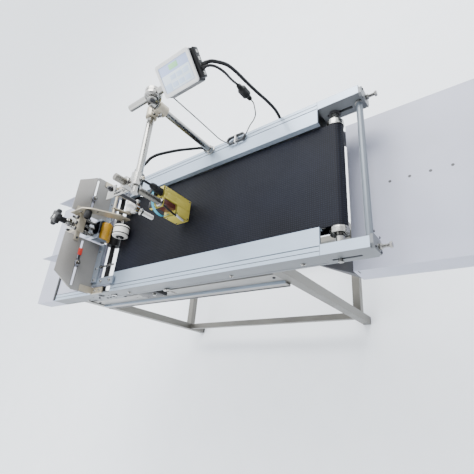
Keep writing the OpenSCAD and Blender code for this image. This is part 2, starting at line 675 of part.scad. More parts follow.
module sensor_arm() color("silver") machine() difference() {
    union() {
        box([sensor_x - 12, head_rod_x - 16], [head_rod_y - 8, head_rod_y + 8], [200, 204]);
        box([sensor_x - 12, sensor_x + 12], [head_rod_y - 8, sensor_rod_y + 8], [200, 204]);
        rod_z(sensor_x, sensor_rod_y, [112, 214], 5);
        box([sensor_x - 12, sensor_x + 12], [head_rod_y - 10, sensor_rod_y + 7], [112, 124.5]);
        rod_z(sensor_x, sensor_y, [112, 124.5], 12);
    }
    box([sensor_x + 20, head_rod_x - 28], [head_rod_y - 3, head_rod_y + 3], [199, 205]);
    rod_z(sensor_x, sensor_y, [111, 126], 7 + running);
}

module photo_sensor() color("lightgray") machine() {
    rod_z(sensor_x, sensor_y, [56, 150], 7);
    translate([sensor_x, sensor_y, 96]) cylinder(h = 5, r = 11, $fn = 6);
}

// Button heads on the rails, tie-bar bolts on the legs and the wing bolt
module frame_bolts() color("silver") machine() {
    both_sides() {
        for (x = [-640, -246, -52])
            rod_y(x, [-half_w - 2.6, -half_w], -16, 4.5);
        rod_y(-878, [-half_w - 2.6, -half_w], -30, 4);
    }
    for (y = [-leg_y + leg_size / 2, leg_y - leg_size / 2])
        rod_x([leg_x1, leg_x1 + 4], y, -62, 5);
    // wing bolt under the front rail
    rod_z(-495, -half_w - 4, [-70, -32], 3);
    box([-507, -483], [-half_w - 6, -half_w - 2], [-38, -30]);
    box([-499, -491], [-half_w - 5, -half_w], [-34, -28]);
}

// ---- Leads ----

module display_cable() color([0.08, 0.08, 0.08]) machine() tube_along(display_route, 4);
module head_cable() color([0.08, 0.08, 0.08]) machine() tube_along(head_route, 3.9);
module power_lead() color([0.08, 0.08, 0.08]) machine() tube_along(power_route, 3);
module inline_connector() color([0.08, 0.08, 0.08]) machine() {
    rod_z(-138, 211.5, [102, 156], 9);
    rod_z(-138, 211.5, [116, 142], 11);
}
module head_pigtail() color([0.08, 0.08, 0.08]) machine() tube_along(pigtail_route, 3.5);
module thin_lead() color("dimgray") machine() {
    tube_along(thin_route_a, 1.6);
    tube_along(thin_route_b, 1.6);
}
// A small hank of the thin lead, lying on the rear rail
module lead_coil() color("dimgray") machine() translate([-240, 187, cover_z + 0.2])
    linear_extrude(12) union() {
        translate([-19, 0]) circle(12);
        translate([19, 0]) circle(12);
        translate([-19, -12]) square([38, 24]);
    }

front_rail();
rear_rail();
cover_strips();
tail_brackets();
tail_crossbar();
front_tension_bolt();
rear_tension_bolt();
conveyor_belt();
belt_bed();
drive_roller();
roller_bearings();
timing_belt();
drive_motor();
motor_pulley();
tail_axle();
tail_roller();
return_roller();
left_legs();
right_legs();
low_tie_bars();
lower_rails();
output_tray();
tray_brackets();
input_table();
feed_deck();
gate_brackets();
front_baffle();
rear_baffle();
front_side_guide();
rear_side_guide();
gate_bar();
separator_block();
star_knob();
separator_carriage();
separator_roller();
lock_knob();
arm_plate();
front_press_roller();
rear_press_roller();
feed_roller();
post();
post_clamp();
swivel_clamp();
display_arm();
display_housing();
head_arm();
cross_clamp();
head_rod();
head_case();
ink_cartridge();
sensor_arm();
photo_sensor();
frame_bolts();
display_cable();
head_cable();
head_pigtail();
power_lead();
inline_connector();
thin_lead();
lead_coil();
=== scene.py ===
import json
import math
import bmesh
import bpy
from mathutils import Matrix, Vector


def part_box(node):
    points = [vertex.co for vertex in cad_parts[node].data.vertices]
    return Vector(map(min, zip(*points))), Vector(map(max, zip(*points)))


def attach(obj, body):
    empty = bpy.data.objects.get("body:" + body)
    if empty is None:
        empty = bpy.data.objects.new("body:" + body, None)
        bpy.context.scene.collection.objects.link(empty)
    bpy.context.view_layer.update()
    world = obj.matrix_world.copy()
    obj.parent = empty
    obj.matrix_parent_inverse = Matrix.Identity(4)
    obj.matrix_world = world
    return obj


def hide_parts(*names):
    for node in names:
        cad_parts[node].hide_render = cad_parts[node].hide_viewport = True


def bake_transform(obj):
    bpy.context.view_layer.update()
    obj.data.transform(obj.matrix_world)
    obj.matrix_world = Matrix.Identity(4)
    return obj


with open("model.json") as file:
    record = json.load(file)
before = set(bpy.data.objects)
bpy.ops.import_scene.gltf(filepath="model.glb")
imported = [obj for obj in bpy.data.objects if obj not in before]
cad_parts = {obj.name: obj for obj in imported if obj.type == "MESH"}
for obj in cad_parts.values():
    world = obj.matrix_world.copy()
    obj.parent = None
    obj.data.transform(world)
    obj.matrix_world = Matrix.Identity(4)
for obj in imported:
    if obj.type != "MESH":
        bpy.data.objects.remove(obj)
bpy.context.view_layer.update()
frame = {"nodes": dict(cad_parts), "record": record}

N = frame["nodes"]

# Sizes are in mm of the part's design frame: X = 0 at the rails' right end, Y = 0 on the belt's
# centre line, Z = 0 on the belt's top. That frame is placed from the belt's own box.
BELT_RIGHT = 0.0485  # m, from X = 0 to the belt's right end
_lo, _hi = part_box("conveyor_belt")
X0, Y0, Z0 = _hi.x - BELT_RIGHT, (_lo.y + _hi.y) / 2, _hi.z

RIGHT, LEFT = (1, 0, 0), (-1, 0, 0)
BACK, FRONT = (0, 1, 0), (0, -1, 0)
UP, DOWN = (0, 0, 1), (0, 0, -1)
SIDES = (-1, 1)

RAIL_Y, LEG_Y, TENSION_Y = 200, 163, 188  # rails' outer faces, and axes of legs and tension bolts
LEGS_X = (-1011, -168.5)
TAIL_X, DRIVE_X, ROLLER_Z = 30, -719, -18.5  # the belt's two rollers
MOTOR_X, MOTOR_Z = -640, -92
SLOT_Z = 93  # the baffles' slots
KNOB_X, KNOB_Y = -820, 12  # the star knob's axis
SEP_X, SEP_Z = -772, 36  # the separator roller's axis
SEP_RODS = ((-786, -13), (-786, 7), (-786, 27))
PRESS_X, PRESS_Z, IDLER_Z = -692, 26.5, 13.5  # the two press rollers
POST_X, POST_Y = -338, 190  # the post that carries screen and print head
SWIVEL_X, ARM_Z = -317, 258  # swivel clamp and the screen's rod
CROSS_X, CROSS_Z = -372, 215  # rod across the belt
HEAD_X, HEAD_Y = -405, -15  # the print head's upright rod
SENSOR_X, SENSOR_Y = -500, -12


def S(x, y, z):
    """Point of the design frame in the shared frame, in metres."""
    return Vector((X0 + x / 1000, Y0 + y / 1000, Z0 + z / 1000))


def link(o):
    bpy.context.scene.collection.objects.link(o)


# ---------------------------------------------------------------- camera
CAMERA_AT = (289.7, -472.1, 642.7)
LENS_MM, SENSOR_MM = 27.65, 36
cam_data = bpy.data.cameras.new("camera")
cam_data.sensor_fit = "HORIZONTAL"
cam_data.sensor_width = SENSOR_MM
cam_data.lens = LENS_MM
cam_data.clip_start = 0.02
cam_data.clip_end = 100
camera = bpy.data.objects.new("camera", cam_data)
link(camera)
_right = Vector((0.7983, 0.0762, -0.5974)).normalized()
_back = Vector((0.5722, -0.4055, 0.7128)).normalized()
_up = _back.cross(_right).normalized()
_right = _up.cross(_back).normalized()
camera.matrix_world = Matrix.Translation(S(*CAMERA_AT)) @ Matrix(
    ((_right.x, _up.x, _back.x), (_right.y, _up.y, _back.y), (_right.z, _up.z, _back.z))
).to_4x4()
bpy.context.scene.camera = camera


# ---------------------------------------------------------------- materials
TWO_PI = 6.2832
ROUGH_SPREAD = 0.09


def put(node, **values):
    """Sets inputs of a shader node, with _ for the space in an input's name."""
    for key, value in values.items():
        node.inputs[key.replace("_", " ")].default_value = value


def material(name, color, rough=0.4, metal=0.0, pattern="peel", tone=0.10, bump=0.08,
             scale=1.0, dark=None, coat=0.0, spec=0.5):
    """A procedural finish. pattern: peel, brush_x/y/z, turned, weave, grain or cast."""
    m = bpy.data.materials.new(name)
    m.use_nodes = True
    t = m.node_tree
    nd, ln = t.nodes, t.links
    b = nd["Principled BSDF"]
    put(b, Metallic=metal, Specular_IOR_Level=spec, IOR=1.45)
    if coat:
        put(b, Coat_Weight=coat, Coat_Roughness=0.15)
    tc = nd.new("ShaderNodeTexCoord")
    mp = nd.new("ShaderNodeMapping")
    ln.new(tc.outputs["Object"], mp.inputs["Vector"])
    fine = nd.new("ShaderNodeTexNoise")
    put(fine, Detail=6)
    ln.new(mp.outputs["Vector"], fine.inputs["Vector"])
    big = nd.new("ShaderNodeTexNoise")
    put(big, Scale=9 * scale, Detail=4)
    ln.new(tc.outputs["Object"], big.inputs["Vector"])
    height = fine.outputs["Fac"]
    if pattern.startswith("brush"):
        put(mp, Scale={"x": (3, 160, 160), "y": (160, 3, 160), "z": (160, 160, 3)}[pattern[-1]])
        put(fine, Scale=9 * scale)
    elif pattern == "weave":
        put(fine, Scale=700)
        waves = []
        for d in ("X", "Y"):
            w = nd.new("ShaderNodeTexWave")
            w.wave_type = "BANDS"
            w.bands_direction = d
            put(w, Scale=950 * scale / TWO_PI, Distortion=0.6)
            ln.new(tc.outputs["Object"], w.inputs["Vector"])
            waves.append(w)
        mul = nd.new("ShaderNodeMath")
        mul.operation = "MULTIPLY"
        ln.new(waves[0].outputs["Fac"], mul.inputs[0])
        ln.new(waves[1].outputs["Fac"], mul.inputs[1])
        height = mul.outputs["Value"]
    else:
        put(fine, Scale={"peel": 650, "turned": 260, "grain": 900, "cast": 420}[pattern] * scale)
    # colour: two tones, mixed by the large and the fine noise
    add = nd.new("ShaderNodeMath")
    add.operation = "MULTIPLY_ADD"
    ln.new(height, add.inputs[0])
    add.inputs[1].default_value = 0.45
    ln.new(big.outputs["Fac"], add.inputs[2])
    ramp = nd.new("ShaderNodeValToRGB")
    lo = dark or tuple(c * (1 - 2.2 * tone) for c in color)
    hi = tuple(min(1, c * (1 + tone)) for c in color)
    ramp.color_ramp.elements[0].position = 0.42
    ramp.color_ramp.elements[0].color = (*lo, 1)
    ramp.color_ramp.elements[1].position = 0.95
    ramp.color_ramp.elements[1].color = (*hi, 1)
    ln.new(add.outputs["Value"], ramp.inputs["Fac"])
    ln.new(ramp.outputs["Color"], b.inputs["Base Color"])
    # roughness follows the same noise
    rr = nd.new("ShaderNodeMapRange")
    put(rr, From_Min=0.3, From_Max=0.75,
        To_Min=max(0.03, rough - ROUGH_SPREAD), To_Max=min(1, rough + ROUGH_SPREAD))
    ln.new(fine.outputs["Fac"] if not pattern.startswith("brush") else big.outputs["Fac"],
           rr.inputs["Value"])
    ln.new(rr.outputs["Result"], b.inputs["Roughness"])
    if bump:
        bp = nd.new("ShaderNodeBump")
        put(bp, Strength=min(1, bump * 2.5), Distance=0.0004)
        ln.new(height, bp.inputs["Height"])
        ln.new(bp.outputs["Normal"], b.inputs["Normal"])
    return m


M = {
    "anodised": material("anodised_aluminium", (0.34, 0.41, 0.50), 0.36, 0.5, "brush_x", 0.05, 0.05),
    "anodised_y": material("anodised_across", (0.27, 0.31, 0.37), 0.36, 0.5, "brush_y", 0.05, 0.05),
    "stainless": material("stainless_tube", (0.145, 0.14, 0.125), 0.40, 0.6, "brush_z", 0.10, 0.07),
    "stainless_x": material("stainless_bar", (0.145, 0.14, 0.125), 0.40, 0.6, "brush_x", 0.10, 0.07),
    "sheet": material("lilac_powder_coat", (0.37, 0.385, 0.47), 0.45, 0.0, "peel", 0.04, 0.06),
    "grey_sheet": material("grey_satin_coat", (0.235, 0.23, 0.22), 0.42, 0.15, "peel", 0.07, 0.08),
    "dark_sheet": material("dark_satin_coat", (0.035, 0.035, 0.04), 0.42, 0.2, "peel", 0.12, 0.10),
    "bright_steel": material("ground_steel", (0.32, 0.315, 0.30), 0.24, 1.0, "turned", 0.10, 0.04),
    "zinc": material("yellow_zinc", (0.43, 0.385, 0.30), 0.36, 0.45, "cast", 0.08, 0.10),
    "belt_cloth": material("belt_weave", (0.0062, 0.0076, 0.014), 0.6, 0.0, "weave", 0.40, 0.40,
                           scale=0.4, dark=(0.0012, 0.0014, 0.003), spec=0.15),
    "black_rubber": material("black_rubber", (0.012, 0.012, 0.013), 0.6, 0.0, "grain", 0.25, 0.2, spec=0.3),
    "black_plastic": material("black_moulding", (0.009, 0.009, 0.010), 0.42, 0.0, "grain", 0.2, 0.15,
                              spec=0.3),
    "white_plastic": material("silver_white_moulding", (0.70, 0.70, 0.69), 0.32, 0.15, "grain", 0.04, 0.06),
    "white_rubber": material("white_elastomer", (0.78, 0.77, 0.72), 0.4, 0.0, "cast", 0.04, 0.08),
    "gold_rubber": material("amber_polyurethane", (0.60, 0.33, 0.02), 0.36, 0.0, "cast", 0.10, 0.12,
                            coat=0.25),
    "khaki": material("khaki_anodised", (0.55, 0.47, 0.09), 0.4, 0.1, "brush_z", 0.06, 0.06),
    "ink": material("red_brown_cartridge", (0.17, 0.035, 0.025), 0.3, 0.0, "grain", 0.12, 0.08, coat=0.3),
    "cable_grey": material("grey_pvc", (0.06, 0.06, 0.063), 0.45, 0.0, "grain", 0.08, 0.1),
    # darker copy of the anodised rail finish: painted shade on the rails' side faces and the tail brackets
    "painted_shade_rail": material("painted_shade_rail_coat", (0.13, 0.14, 0.15), 0.45, 0.25, "brush_x", 0.06, 0.05),
    "blue_bar": material("blue_grey_bar", (0.13, 0.15, 0.175), 0.38, 0.3, "brush_y", 0.08, 0.05),
    "dark_steel": material("oxide_steel", (0.16, 0.15, 0.13), 0.3, 0.9, "turned", 0.12, 0.05),
}
# nodes that are shown in another finish than their slot's; the rails and tail brackets take a darker copy of
# the anodised finish, painted shade for their side faces
OWN_FINISH = {
    "front_rail": "painted_shade_rail", "rear_rail": "painted_shade_rail", "tail_brackets": "painted_shade_rail",
    "tail_crossbar": "blue_bar", "low_tie_bars": "stainless_x", "belt_bed": "stainless_x",
    "gate_bar": "anodised_y", "separator_carriage": "anodised_y",
}
for sub in frame["record"]["subparts"]:
    finish = OWN_FINISH.get(sub["node"], sub["material_slot"])
    N[sub["node"]].data.materials.clear()
    N[sub["node"]].data.materials.append(M[finish])


# ---------------------------------------------------------------- mesh helpers (mm, design frame)
SHARP_ANGLE = 0.6


class Batch:
    """Collects several solids of one finish that ride on one body into a single piece."""

    def __init__(self, name, slot, body="frame", replaces=(), mat=None):
        self.name, self.slot, self.body = name, slot, body
        self.mat = mat or M[slot]
        self.replaces = replaces
        self.bm = bmesh.new()

    def add(self, bm):
        me = bpy.data.meshes.new("tmp")
        bm.to_mesh(me)
        bm.free()
        self.bm.from_mesh(me)
        bpy.data.meshes.remove(me)

    def done(self, ride=True):
        me = bpy.data.meshes.new(self.name)
        for v in self.bm.verts:
            v.co = S(*v.co)
        bmesh.ops.recalc_face_normals(self.bm, faces=self.bm.faces)
        self.bm.to_mesh(me)
        self.bm.free()
        for p in me.polygons:
            p.use_smooth = True
        me.set_sharp_from_angle(angle=SHARP_ANGLE)
        me.materials.append(self.mat)
        o = bpy.data.objects.new(self.name, me)
        link(o)
        if ride:
            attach(o, self.body)
        if self.replaces:
            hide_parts(*self.replaces)
        return o


def piece(name, slot, solids, body="frame", replaces=(), mat=None):
    """One piece made of the solids given."""
    b = Batch(name, slot, body, replaces, mat)
    for bm in solids:
        b.add(bm)
    b.done()


def frame_axes(axis):
    """Rotation that takes +Z to axis."""
    return Vector(UP).rotation_difference(Vector(axis).normalized()).to_matrix().to_4x4()


def rbox(p, q, r=0.8, seg=2):
    """A box between two opposite corners, with rounded edges."""
    bm = bmesh.new()
    lo, hi = [min(c) for c in zip(p, q)], [max(c) for c in zip(p, q)]
    size = [h - l for l, h in zip(lo, hi)]
    mid = Vector([(h + l) / 2 for l, h in zip(lo, hi)])
    bmesh.ops.create_cube(bm, size=1, matrix=Matrix.Diagonal((*size, 1)))
    r = min(r, 0.45 * min(size))
    if r > 0:
        bmesh.ops.bevel(bm, geom=list(bm.edges), offset=r, segments=seg, profile=0.5, affect="EDGES")
    bmesh.ops.transform(bm, matrix=Matrix.Translation(mid), verts=bm.verts)
    return bm


def lathe(profile, pos, axis=UP, n=40, shape=None):
    """profile: (radius, height) along axis. shape(i, angle) multiplies the radius of point i."""
    bm = bmesh.new()
    m = Matrix.Translation(Vector(pos)) @ frame_axes(axis)
    rings = []
    for i, (r, h) in enumerate(profile):
        if r < 1e-6:
            rings.append([bm.verts.new(m @ Vector((0, 0, h)))])
        else:
            ring = []
            for k in range(n):
                a = 2 * math.pi * k / n
                q = r * (shape(i, a) if shape else 1)
                ring.append(bm.verts.new(m @ Vector((q * math.cos(a), q * math.sin(a), h))))
            rings.append(ring)
    for a, b in zip(rings, rings[1:]):
        for k in range(n):
            k2 = (k + 1) % n
            if len(a) == 1 and len(b) == 1:
                continue
            if len(a) == 1:
                bm.faces.new((a[0], b[k], b[k2]))
            elif len(b) == 1:
                bm.faces.new((a[k], b[0], a[k2]))
            else:
                bm.faces.new((a[k], b[k], b[k2], a[k2]))
    for ring in (rings[0], rings[-1]):
        if len(ring) > 2:
            bm.faces.new(ring)
    return bm


def rod(p, q, r, ch=0.8, n=32):
    """A chamfered rod from p to q."""
    d = Vector(q) - Vector(p)
    h = d.length
    ch = min(ch, r * 0.5, h * 0.4)
    return lathe([(r - ch, 0), (r, ch), (r, h - ch), (r - ch, h)], p, d, n)


def ribs(points, rise, count, grow=0.0):
    """Profile that repeats points (radius, height) count times, rise apart and growing by grow."""
    return [(r + grow * k, h + rise * k) for k in range(count) for r, h in points]


def hexagon(a):
    """Radius of a hexagon at angle a, for a corner radius of 1."""
    k = math.pi / 3
    return math.cos(k / 2) / math.cos((a % k) - k / 2)


def screw(pos, axis, r, h=None):
    """Socket button head with a hexagon recess, standing on pos."""
    h = h or r * 0.62
    hexr = r * 0.5
    prof = [(r, 0), (r, h * 0.45), (r * 0.9, h * 0.8), (r * 0.72, h), (hexr * 1.06, h),
            (hexr, h * 0.35), (0, h * 0.33)]
    return lathe(prof, pos, axis, 24, lambda i, a: hexagon(a) if i >= 5 else 1)


def nut(pos, axis, r, h, hole=0.0):
    prof = [(r * 0.9, 0), (r, h * 0.12), (r, h * 0.88), (r * 0.9, h)]
    if hole:
        prof += [(hole, h), (hole, h * 0.3), (0, h * 0.3)]
    return lathe(prof, pos, axis, 24, lambda i, a: hexagon(a) if i < 4 else 1)


def washer(pos, axis, r, h=1.2, hole=0.4):
    return lathe([(r, 0), (r, h * 0.8), (r - h * 0.2, h), (r * hole, h)], pos, axis, 28)


def prism(outline, lo, hi, plane, r=0.4):
    """outline of (u, v) extruded from lo to hi. plane: xz (along Y), yz (along X) or xy (along Z)."""
    place = {"xz": lambda u, v, t: (u, t, v), "yz": lambda u, v, t: (t, u, v),
             "xy": lambda u, v, t: (u, v, t)}[plane]
    bm = bmesh.new()
    a = [bm.verts.new(place(u, v, lo)) for u, v in outline]
    b = [bm.verts.new(place(u, v, hi)) for u, v in outline]
    n = len(outline)
    bm.faces.new(a)
    bm.faces.new(list(reversed(b)))
    for k in range(n):
        bm.faces.new((a[k], a[(k + 1) % n], b[(k + 1) % n], b[k]))
    bmesh.ops.recalc_face_normals(bm, faces=bm.faces)
    if r:
        bmesh.ops.bevel(bm, geom=list(bm.edges), offset=r, segments=2, profile=0.5, affect="EDGES",
                        clamp_overlap=True)
    return bm


def catmull(points, per=6):
    """Smooth path through points, with per steps between two of them."""
    p = [Vector(q) for q in points]
    out = []
    for i in range(len(p) - 1):
        a, b = p[max(i - 1, 0)], p[i]
        c, d = p[i + 1], p[min(i + 2, len(p) - 1)]
        for k in range(per):
            t = k / per
            out.append(0.5 * ((2 * b) + (c - a) * t + (2 * a - 5 * b + 4 * c - d) * t * t
                              + (3 * b - a - 3 * c + d) * t ** 3))
    out.append(p[-1])
    return out


def sweep(path, r, n=12, ends=True):
    """Round tube along a dense path, with radius r or r(s) for s from 0 to 1."""
    bm = bmesh.new()
    path = [Vector(q) for q in path]
    count = len(path)
    side = None
    rings = []
    for i, c in enumerate(path):
        t = (path[min(i + 1, count - 1)] - path[max(i - 1, 0)]).normalized()
        if side is None:
            ref = Vector(UP) if abs(t.z) < 0.9 else Vector(BACK)
            side = t.cross(ref).normalized()
        side = (side - side.dot(t) * t).normalized()
        other = t.cross(side)
        q = r(i / (count - 1)) if callable(r) else r
        rings.append([bm.verts.new(c + q * (math.cos(2 * math.pi * k / n) * side
                                            + math.sin(2 * math.pi * k / n) * other)) for k in range(n)])
    for a, b in zip(rings, rings[1:]):
        for k in range(n):
            bm.faces.new((a[k], a[(k + 1) % n], b[(k + 1) % n], b[k]))
    if ends:
        bm.faces.new(list(reversed(rings[0])))
        bm.faces.new(rings[-1])
    return bm


def on_circle(x, y, z, r, a):
    """Point at angle a on the circle of r around (x, z) that faces along Y."""
    return (x + r * math.cos(a), y, z + r * math.sin(a))


def helix(cx, cy, z0, z1, r, turns, per):
    """Upright coil of r around (cx, cy), with per points a turn."""
    pts = []
    total = int(turns * per)
    for k in range(total + 1):
        a = 2 * math.pi * k / per
        pts.append((cx + r * math.cos(a), cy + r * math.sin(a), z0 + (z1 - z0) * k / total))
    return pts


# ---------------------------------------------------------------- leads
display_route = [(-143.7, 172, 268), (-136, 172, 268), (-126, 176, 263), (-117, 181, 249),
                 (-110, 188, 229), (-109, 195, 202), (-110, 201, 168), (-110, 205, 136), (-109, 209, 106),
                 (-107, 212, 76), (-105, 212, 46), (-106, 210, 23), (-109, 205.5, 1), (-110, 204.5, -16)]
power_route = [(-143.7, 163.5, 266.2), (-137, 163.5, 266.2), (-127, 164, 263), (-121, 167, 253),
               (-120, 173, 238), (-123, 182, 218), (-129, 192, 196), (-135, 203, 176), (-138, 210, 164),
               (-138, 211.5, 156)]
head_route = [(-401, 23.2, 205), (-401, 30, 205), (-400, 38, 200), (-398, 48, 193),
              (-394, 60, 187), (-389, 76, 181), (-385, 90, 171), (-382, 103, 158), (-376, 124, 133),
              (-370, 146, 105), (-363, 166, 76), (-357, 184, 50), (-354, 192, 37), (-354, 193, 32),
              (-354, 193, 25.3)]
pigtail_route = [(-401, 15, 146), (-401, 15, 160), (-401, 15, 176), (-401, 15, 190), (-401, 15, 204)]


def lead(name, route, r, node):
    """Black lead swept along route, in place of node, riding on no body."""
    path = catmull(route, 5)
    b = Batch(name, "black_plastic", replaces=[node])
    b.add(sweep(path, r, 16))
    o = b.done(ride=False)
    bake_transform(o)


lead("display_lead", display_route, 4.0, "display_cable")
lead("supply_lead", power_route, 3.0, "power_lead")
lead("print_head_lead", head_route, 3.9, "head_cable")
lead("print_head_pigtail", pigtail_route, 3.5, "head_pigtail")

# thin grey lead: from the inline connector into a tied hank on the rear rail, then up to the screen's arm
thin_low = [(-138, 211.5, 102), (-139, 211.5, 88), (-147, 211.5, 70), (-157, 211, 52),
            (-172, 209, 39), (-188, 204, 32), (-200, 196, 26), (-209, 188.5, 22)]
thin_high = [(-271, 187, 21.5), (-280, 191, 27), (-286, 193, 45), (-288, 196, 90),
             (-289, 198, 140), (-289, 198, 190), (-288, 197, 220), (-286, 194, 238), (-285, 190, 249)]
THIN_R = 1.6
HANK_R, HANK_Y, HANK_RISE = 10.2, 187, 3.3
hank = []
for turn in range(3):
    for cx, a0, lift in ((-221, -90, 0), (-259, 90, HANK_RISE / 2)):
        for k in range(9):
            a = math.radians(a0 + 180 * k / 8)
            hank.append((cx + HANK_R * math.cos(a), HANK_Y + HANK_R * math.sin(a),
                         18 + HANK_RISE * turn + HANK_RISE * (k / 8) * 0.5 + lift))


def grey_lead(name, path, node=None, n=12):
    b = Batch(name, "cable_grey", replaces=[node] if node else ())
    b.add(sweep(path, THIN_R, n))
    o = b.done()


grey_lead("thin_lead_lower", catmull(thin_low, 5), "thin_lead")
grey_lead("thin_lead_upper", catmull(thin_high, 5))
grey_lead("thin_lead_hank", catmull(hank, 2), "lead_coil", 10)
piece("hank_tie", "white_plastic", [rbox((-243, 172.5, 16.1), (-239, 200, 28.5), 1.2)])

# inline connector with its boots
prof = [(4, -1), (5, 0)] + ribs([(5.4, 1), (5.4, 2), (4.7, 2.3), (4.7, 2.9)], 2, 6, 0.3)
prof += [(9.0, 14), (10.6, 15.5), (11, 17), (11, 25), (10.4, 25.6), (10.4, 27), (11, 27.6), (11, 38),
         (9.6, 40)]
prof += ribs([(7.6, 41), (7.6, 42.2), (6.8, 42.6), (6.8, 43.2)], 2.4, 5, -0.5) + [(4, 54)]
piece("inline_connector_body", "black_plastic", [
    lathe(prof, (-138, 211.5, 102), UP, 32,
          lambda i, a: 1 + (0.035 * math.cos(12 * a) if 26 < i < 34 else 0)),
], "frame", ["inline_connector"])

# ---------------------------------------------------------------- screws and bolts
b = Batch("rail_screws", "bright_steel", "frame", ["frame_bolts"])
for s in SIDES:
    for x in (-640, -246, -52):
        b.add(washer((x, s * RAIL_Y, -16), (0, s, 0), 6.4, 0.8))
        b.add(screw((x, s * 200.7, -16), (0, s, 0), 4.8, 3.4))
    b.add(screw((-878, s * RAIL_Y, -30), (0, s, 0), 4.2, 3))
    b.add(washer((-154, s * LEG_Y, -62), RIGHT, 7.2, 1))
    b.add(nut((-153.2, s * LEG_Y, -62), RIGHT, 5.6, 4))
b.add(rod((-495, -204, -72), (-495, -204, -40), 3))
for k in range(9):
    b.add(lathe([(3.0, 0), (3.35, 0.9), (3.0, 1.8)], (-495, -204, -71 + 2.2 * k), UP, 20))
b.add(nut((-495, -204, -44), UP, 6, 4))
b.add(rbox((-507, -206, -39), (-483, -201.5, -31), 2))
b.add(rbox((-499, -205, -33.5), (-491, -199.8, -28), 0.6))
b.done()

piece("rail_end_fasteners", "dark_sheet", [
    screw((x, -199.9, z), FRONT, 3.6, 1.6)
    for x, z in ((-800, -18), (-816, -30), (-778, -35), (-738, -30), (-760, -33), (-700, -12))])

b = Batch("tension_bolts", "bright_steel", "frame", ["front_tension_bolt", "rear_tension_bolt"])
for s in SIDES:
    prof = [(3.6, 0)] + ribs([(4.0, 0.6), (3.55, 1.35)], 1.5, 58)
    b.add(lathe(prof, (44, s * TENSION_Y, ROLLER_Z), RIGHT, 20))
    b.add(nut((126, s * TENSION_Y, ROLLER_Z), RIGHT, 6.6, 5.2))
    b.add(nut((107.5, s * TENSION_Y, ROLLER_Z), RIGHT, 6.6, 5))
    b.add(washer((106.1, s * TENSION_Y, ROLLER_Z), RIGHT, 8, 1.2))
    b.add(nut((94, s * TENSION_Y, ROLLER_Z), RIGHT, 6.6, 5))
b.done()

b = Batch("end_cap_screws", "dark_sheet")
for s in SIDES:
    for y, z in ((166, 8), (166, -26), (195, 3), (195, -32)):
        b.add(screw((106, s * y, z), RIGHT, 2.6, 1.8))
    b.add(nut((TAIL_X, s * 204, ROLLER_Z), (0, s, 0), 6.3, 3.4, 2.4))
b.done()

piece("leg_feet", "black_plastic", [
    rbox((x - 14.6, s * LEG_Y - 14.6, -760), (x + 14.6, s * LEG_Y + 14.6, -752), 1.4)
    for x in LEGS_X for s in SIDES])
b = Batch("stand_welds", "stainless")
for x, d in ((-997, 1), (-182.5, -1)):
    for s in SIDES:
        for z in (-680.2, -657.8):
            pts = [(x + d * 0.5, s * (LEG_Y - 11 + 22 * k / 10), z + 0.4 * math.sin(5.1 * k))
                   for k in range(11)]
            b.add(sweep(pts, lambda t: 1.3 + 0.25 * math.sin(40 * t), 8))
for x in LEGS_X:
    for s in SIDES:
        for z in (-683.2, -654.8):
            pts = [(x - 13 + 2.6 * k, s * 148.4, z + 0.4 * math.sin(4.3 * k)) for k in range(11)]
            b.add(sweep(pts, lambda t: 1.3 + 0.25 * math.sin(37 * t), 8))
b.done()

# ---------------------------------------------------------------- conveyor details
# thin plates in the lighter anodised finish on the rails' tops: the painted lit copy beside the painted shade
# of the rails' sides
b = Batch("rail_top_lit_faces", "anodised")
for s in SIDES:
    for x0, x1 in ((-1031.6, -803), (-699.5, -0.4)):
        for y0, y1 in ((180.4, 189.2), (191.2, 199.7)):
            b.add(rbox((x0, s * y0, 15.96), (x1, s * y1, 16.1), 0.05, 1))
    b.add(rbox((0.6, s * 176.6, 15.96), (99.6, s * 199.6, 16.1), 0.05, 1))
b.done()
piece("rail_end_strip", "black_rubber", [
    rbox((-1040, -198, 12), (-1026, -84, 17.8), 0.8),
    rbox((-1040, 84, 12), (-1026, 198, 17.8), 0.8),
])
b = Batch("belt_edge_bead", "belt_cloth")
for s in SIDES:
    y = s * 131.6
    pts = [(DRIVE_X + k * 53.5, y, -0.2) for k in range(14)]
    for k in range(25):
        a = math.radians(90 - 180 * k / 24)
        pts.append(on_circle(TAIL_X, y, ROLLER_Z, 18.3, a))
    pts += [(-23.5 - k * 53.5, y, -36.8) for k in range(14)]
    b.add(sweep(pts, 0.55, 8))
b.done()
b = Batch("belt_splice", "belt_cloth")
for k in range(20):
    y0 = -131 + 13.1 * k
    b.add(prism([(-212, y0), (-206, y0 + 6.5), (-212, y0 + 13.0), (-211.2, y0 + 13.0), (-205.2, y0 + 6.5),
                 (-211.2, y0)], -0.3, 0.1, "xy", 0))
b.done()

b = Batch("tail_collar_rims", "bright_steel", "tail_roller")
for s in SIDES:
    b.add(lathe([(18, 0), (20.1, 0.8), (20.3, 2), (20.3, 5), (19.6, 5.6), (19.6, 8.4), (20.3, 9),
                 (20.3, 12.4), (19.4, 13.6), (11, 13.9)], (TAIL_X, s * 133, ROLLER_Z), (0, s, 0), 56))
    for k in range(3):
        a = 2 * math.pi * k / 3
        b.add(screw(on_circle(TAIL_X, s * 146.9, ROLLER_Z, 15, a), (0, s, 0), 2.4, 1.4))
b.done()
b = Batch("tail_axle_rings", "dark_sheet")
for s in SIDES:
    b.add(lathe([(10.2, 0), (11.6, 0.4), (11.6, 1.6), (10.2, 2)], (TAIL_X, s * 150, ROLLER_Z), (0, s, 0), 40))
    b.add(lathe([(10.2, 0), (14, 0.5), (14, 3), (10.2, 3.4)], (TAIL_X, s * 171.5, ROLLER_Z), (0, s, 0), 40))
b.done()
piece("crossbar_collars", "bright_steel", [
    lathe([(7.7, 0), (9.6, 0.6), (9.6, 5), (7.7, 5.6)], (92, s * 170, -12), (0, s, 0), 32)
    for s in SIDES])

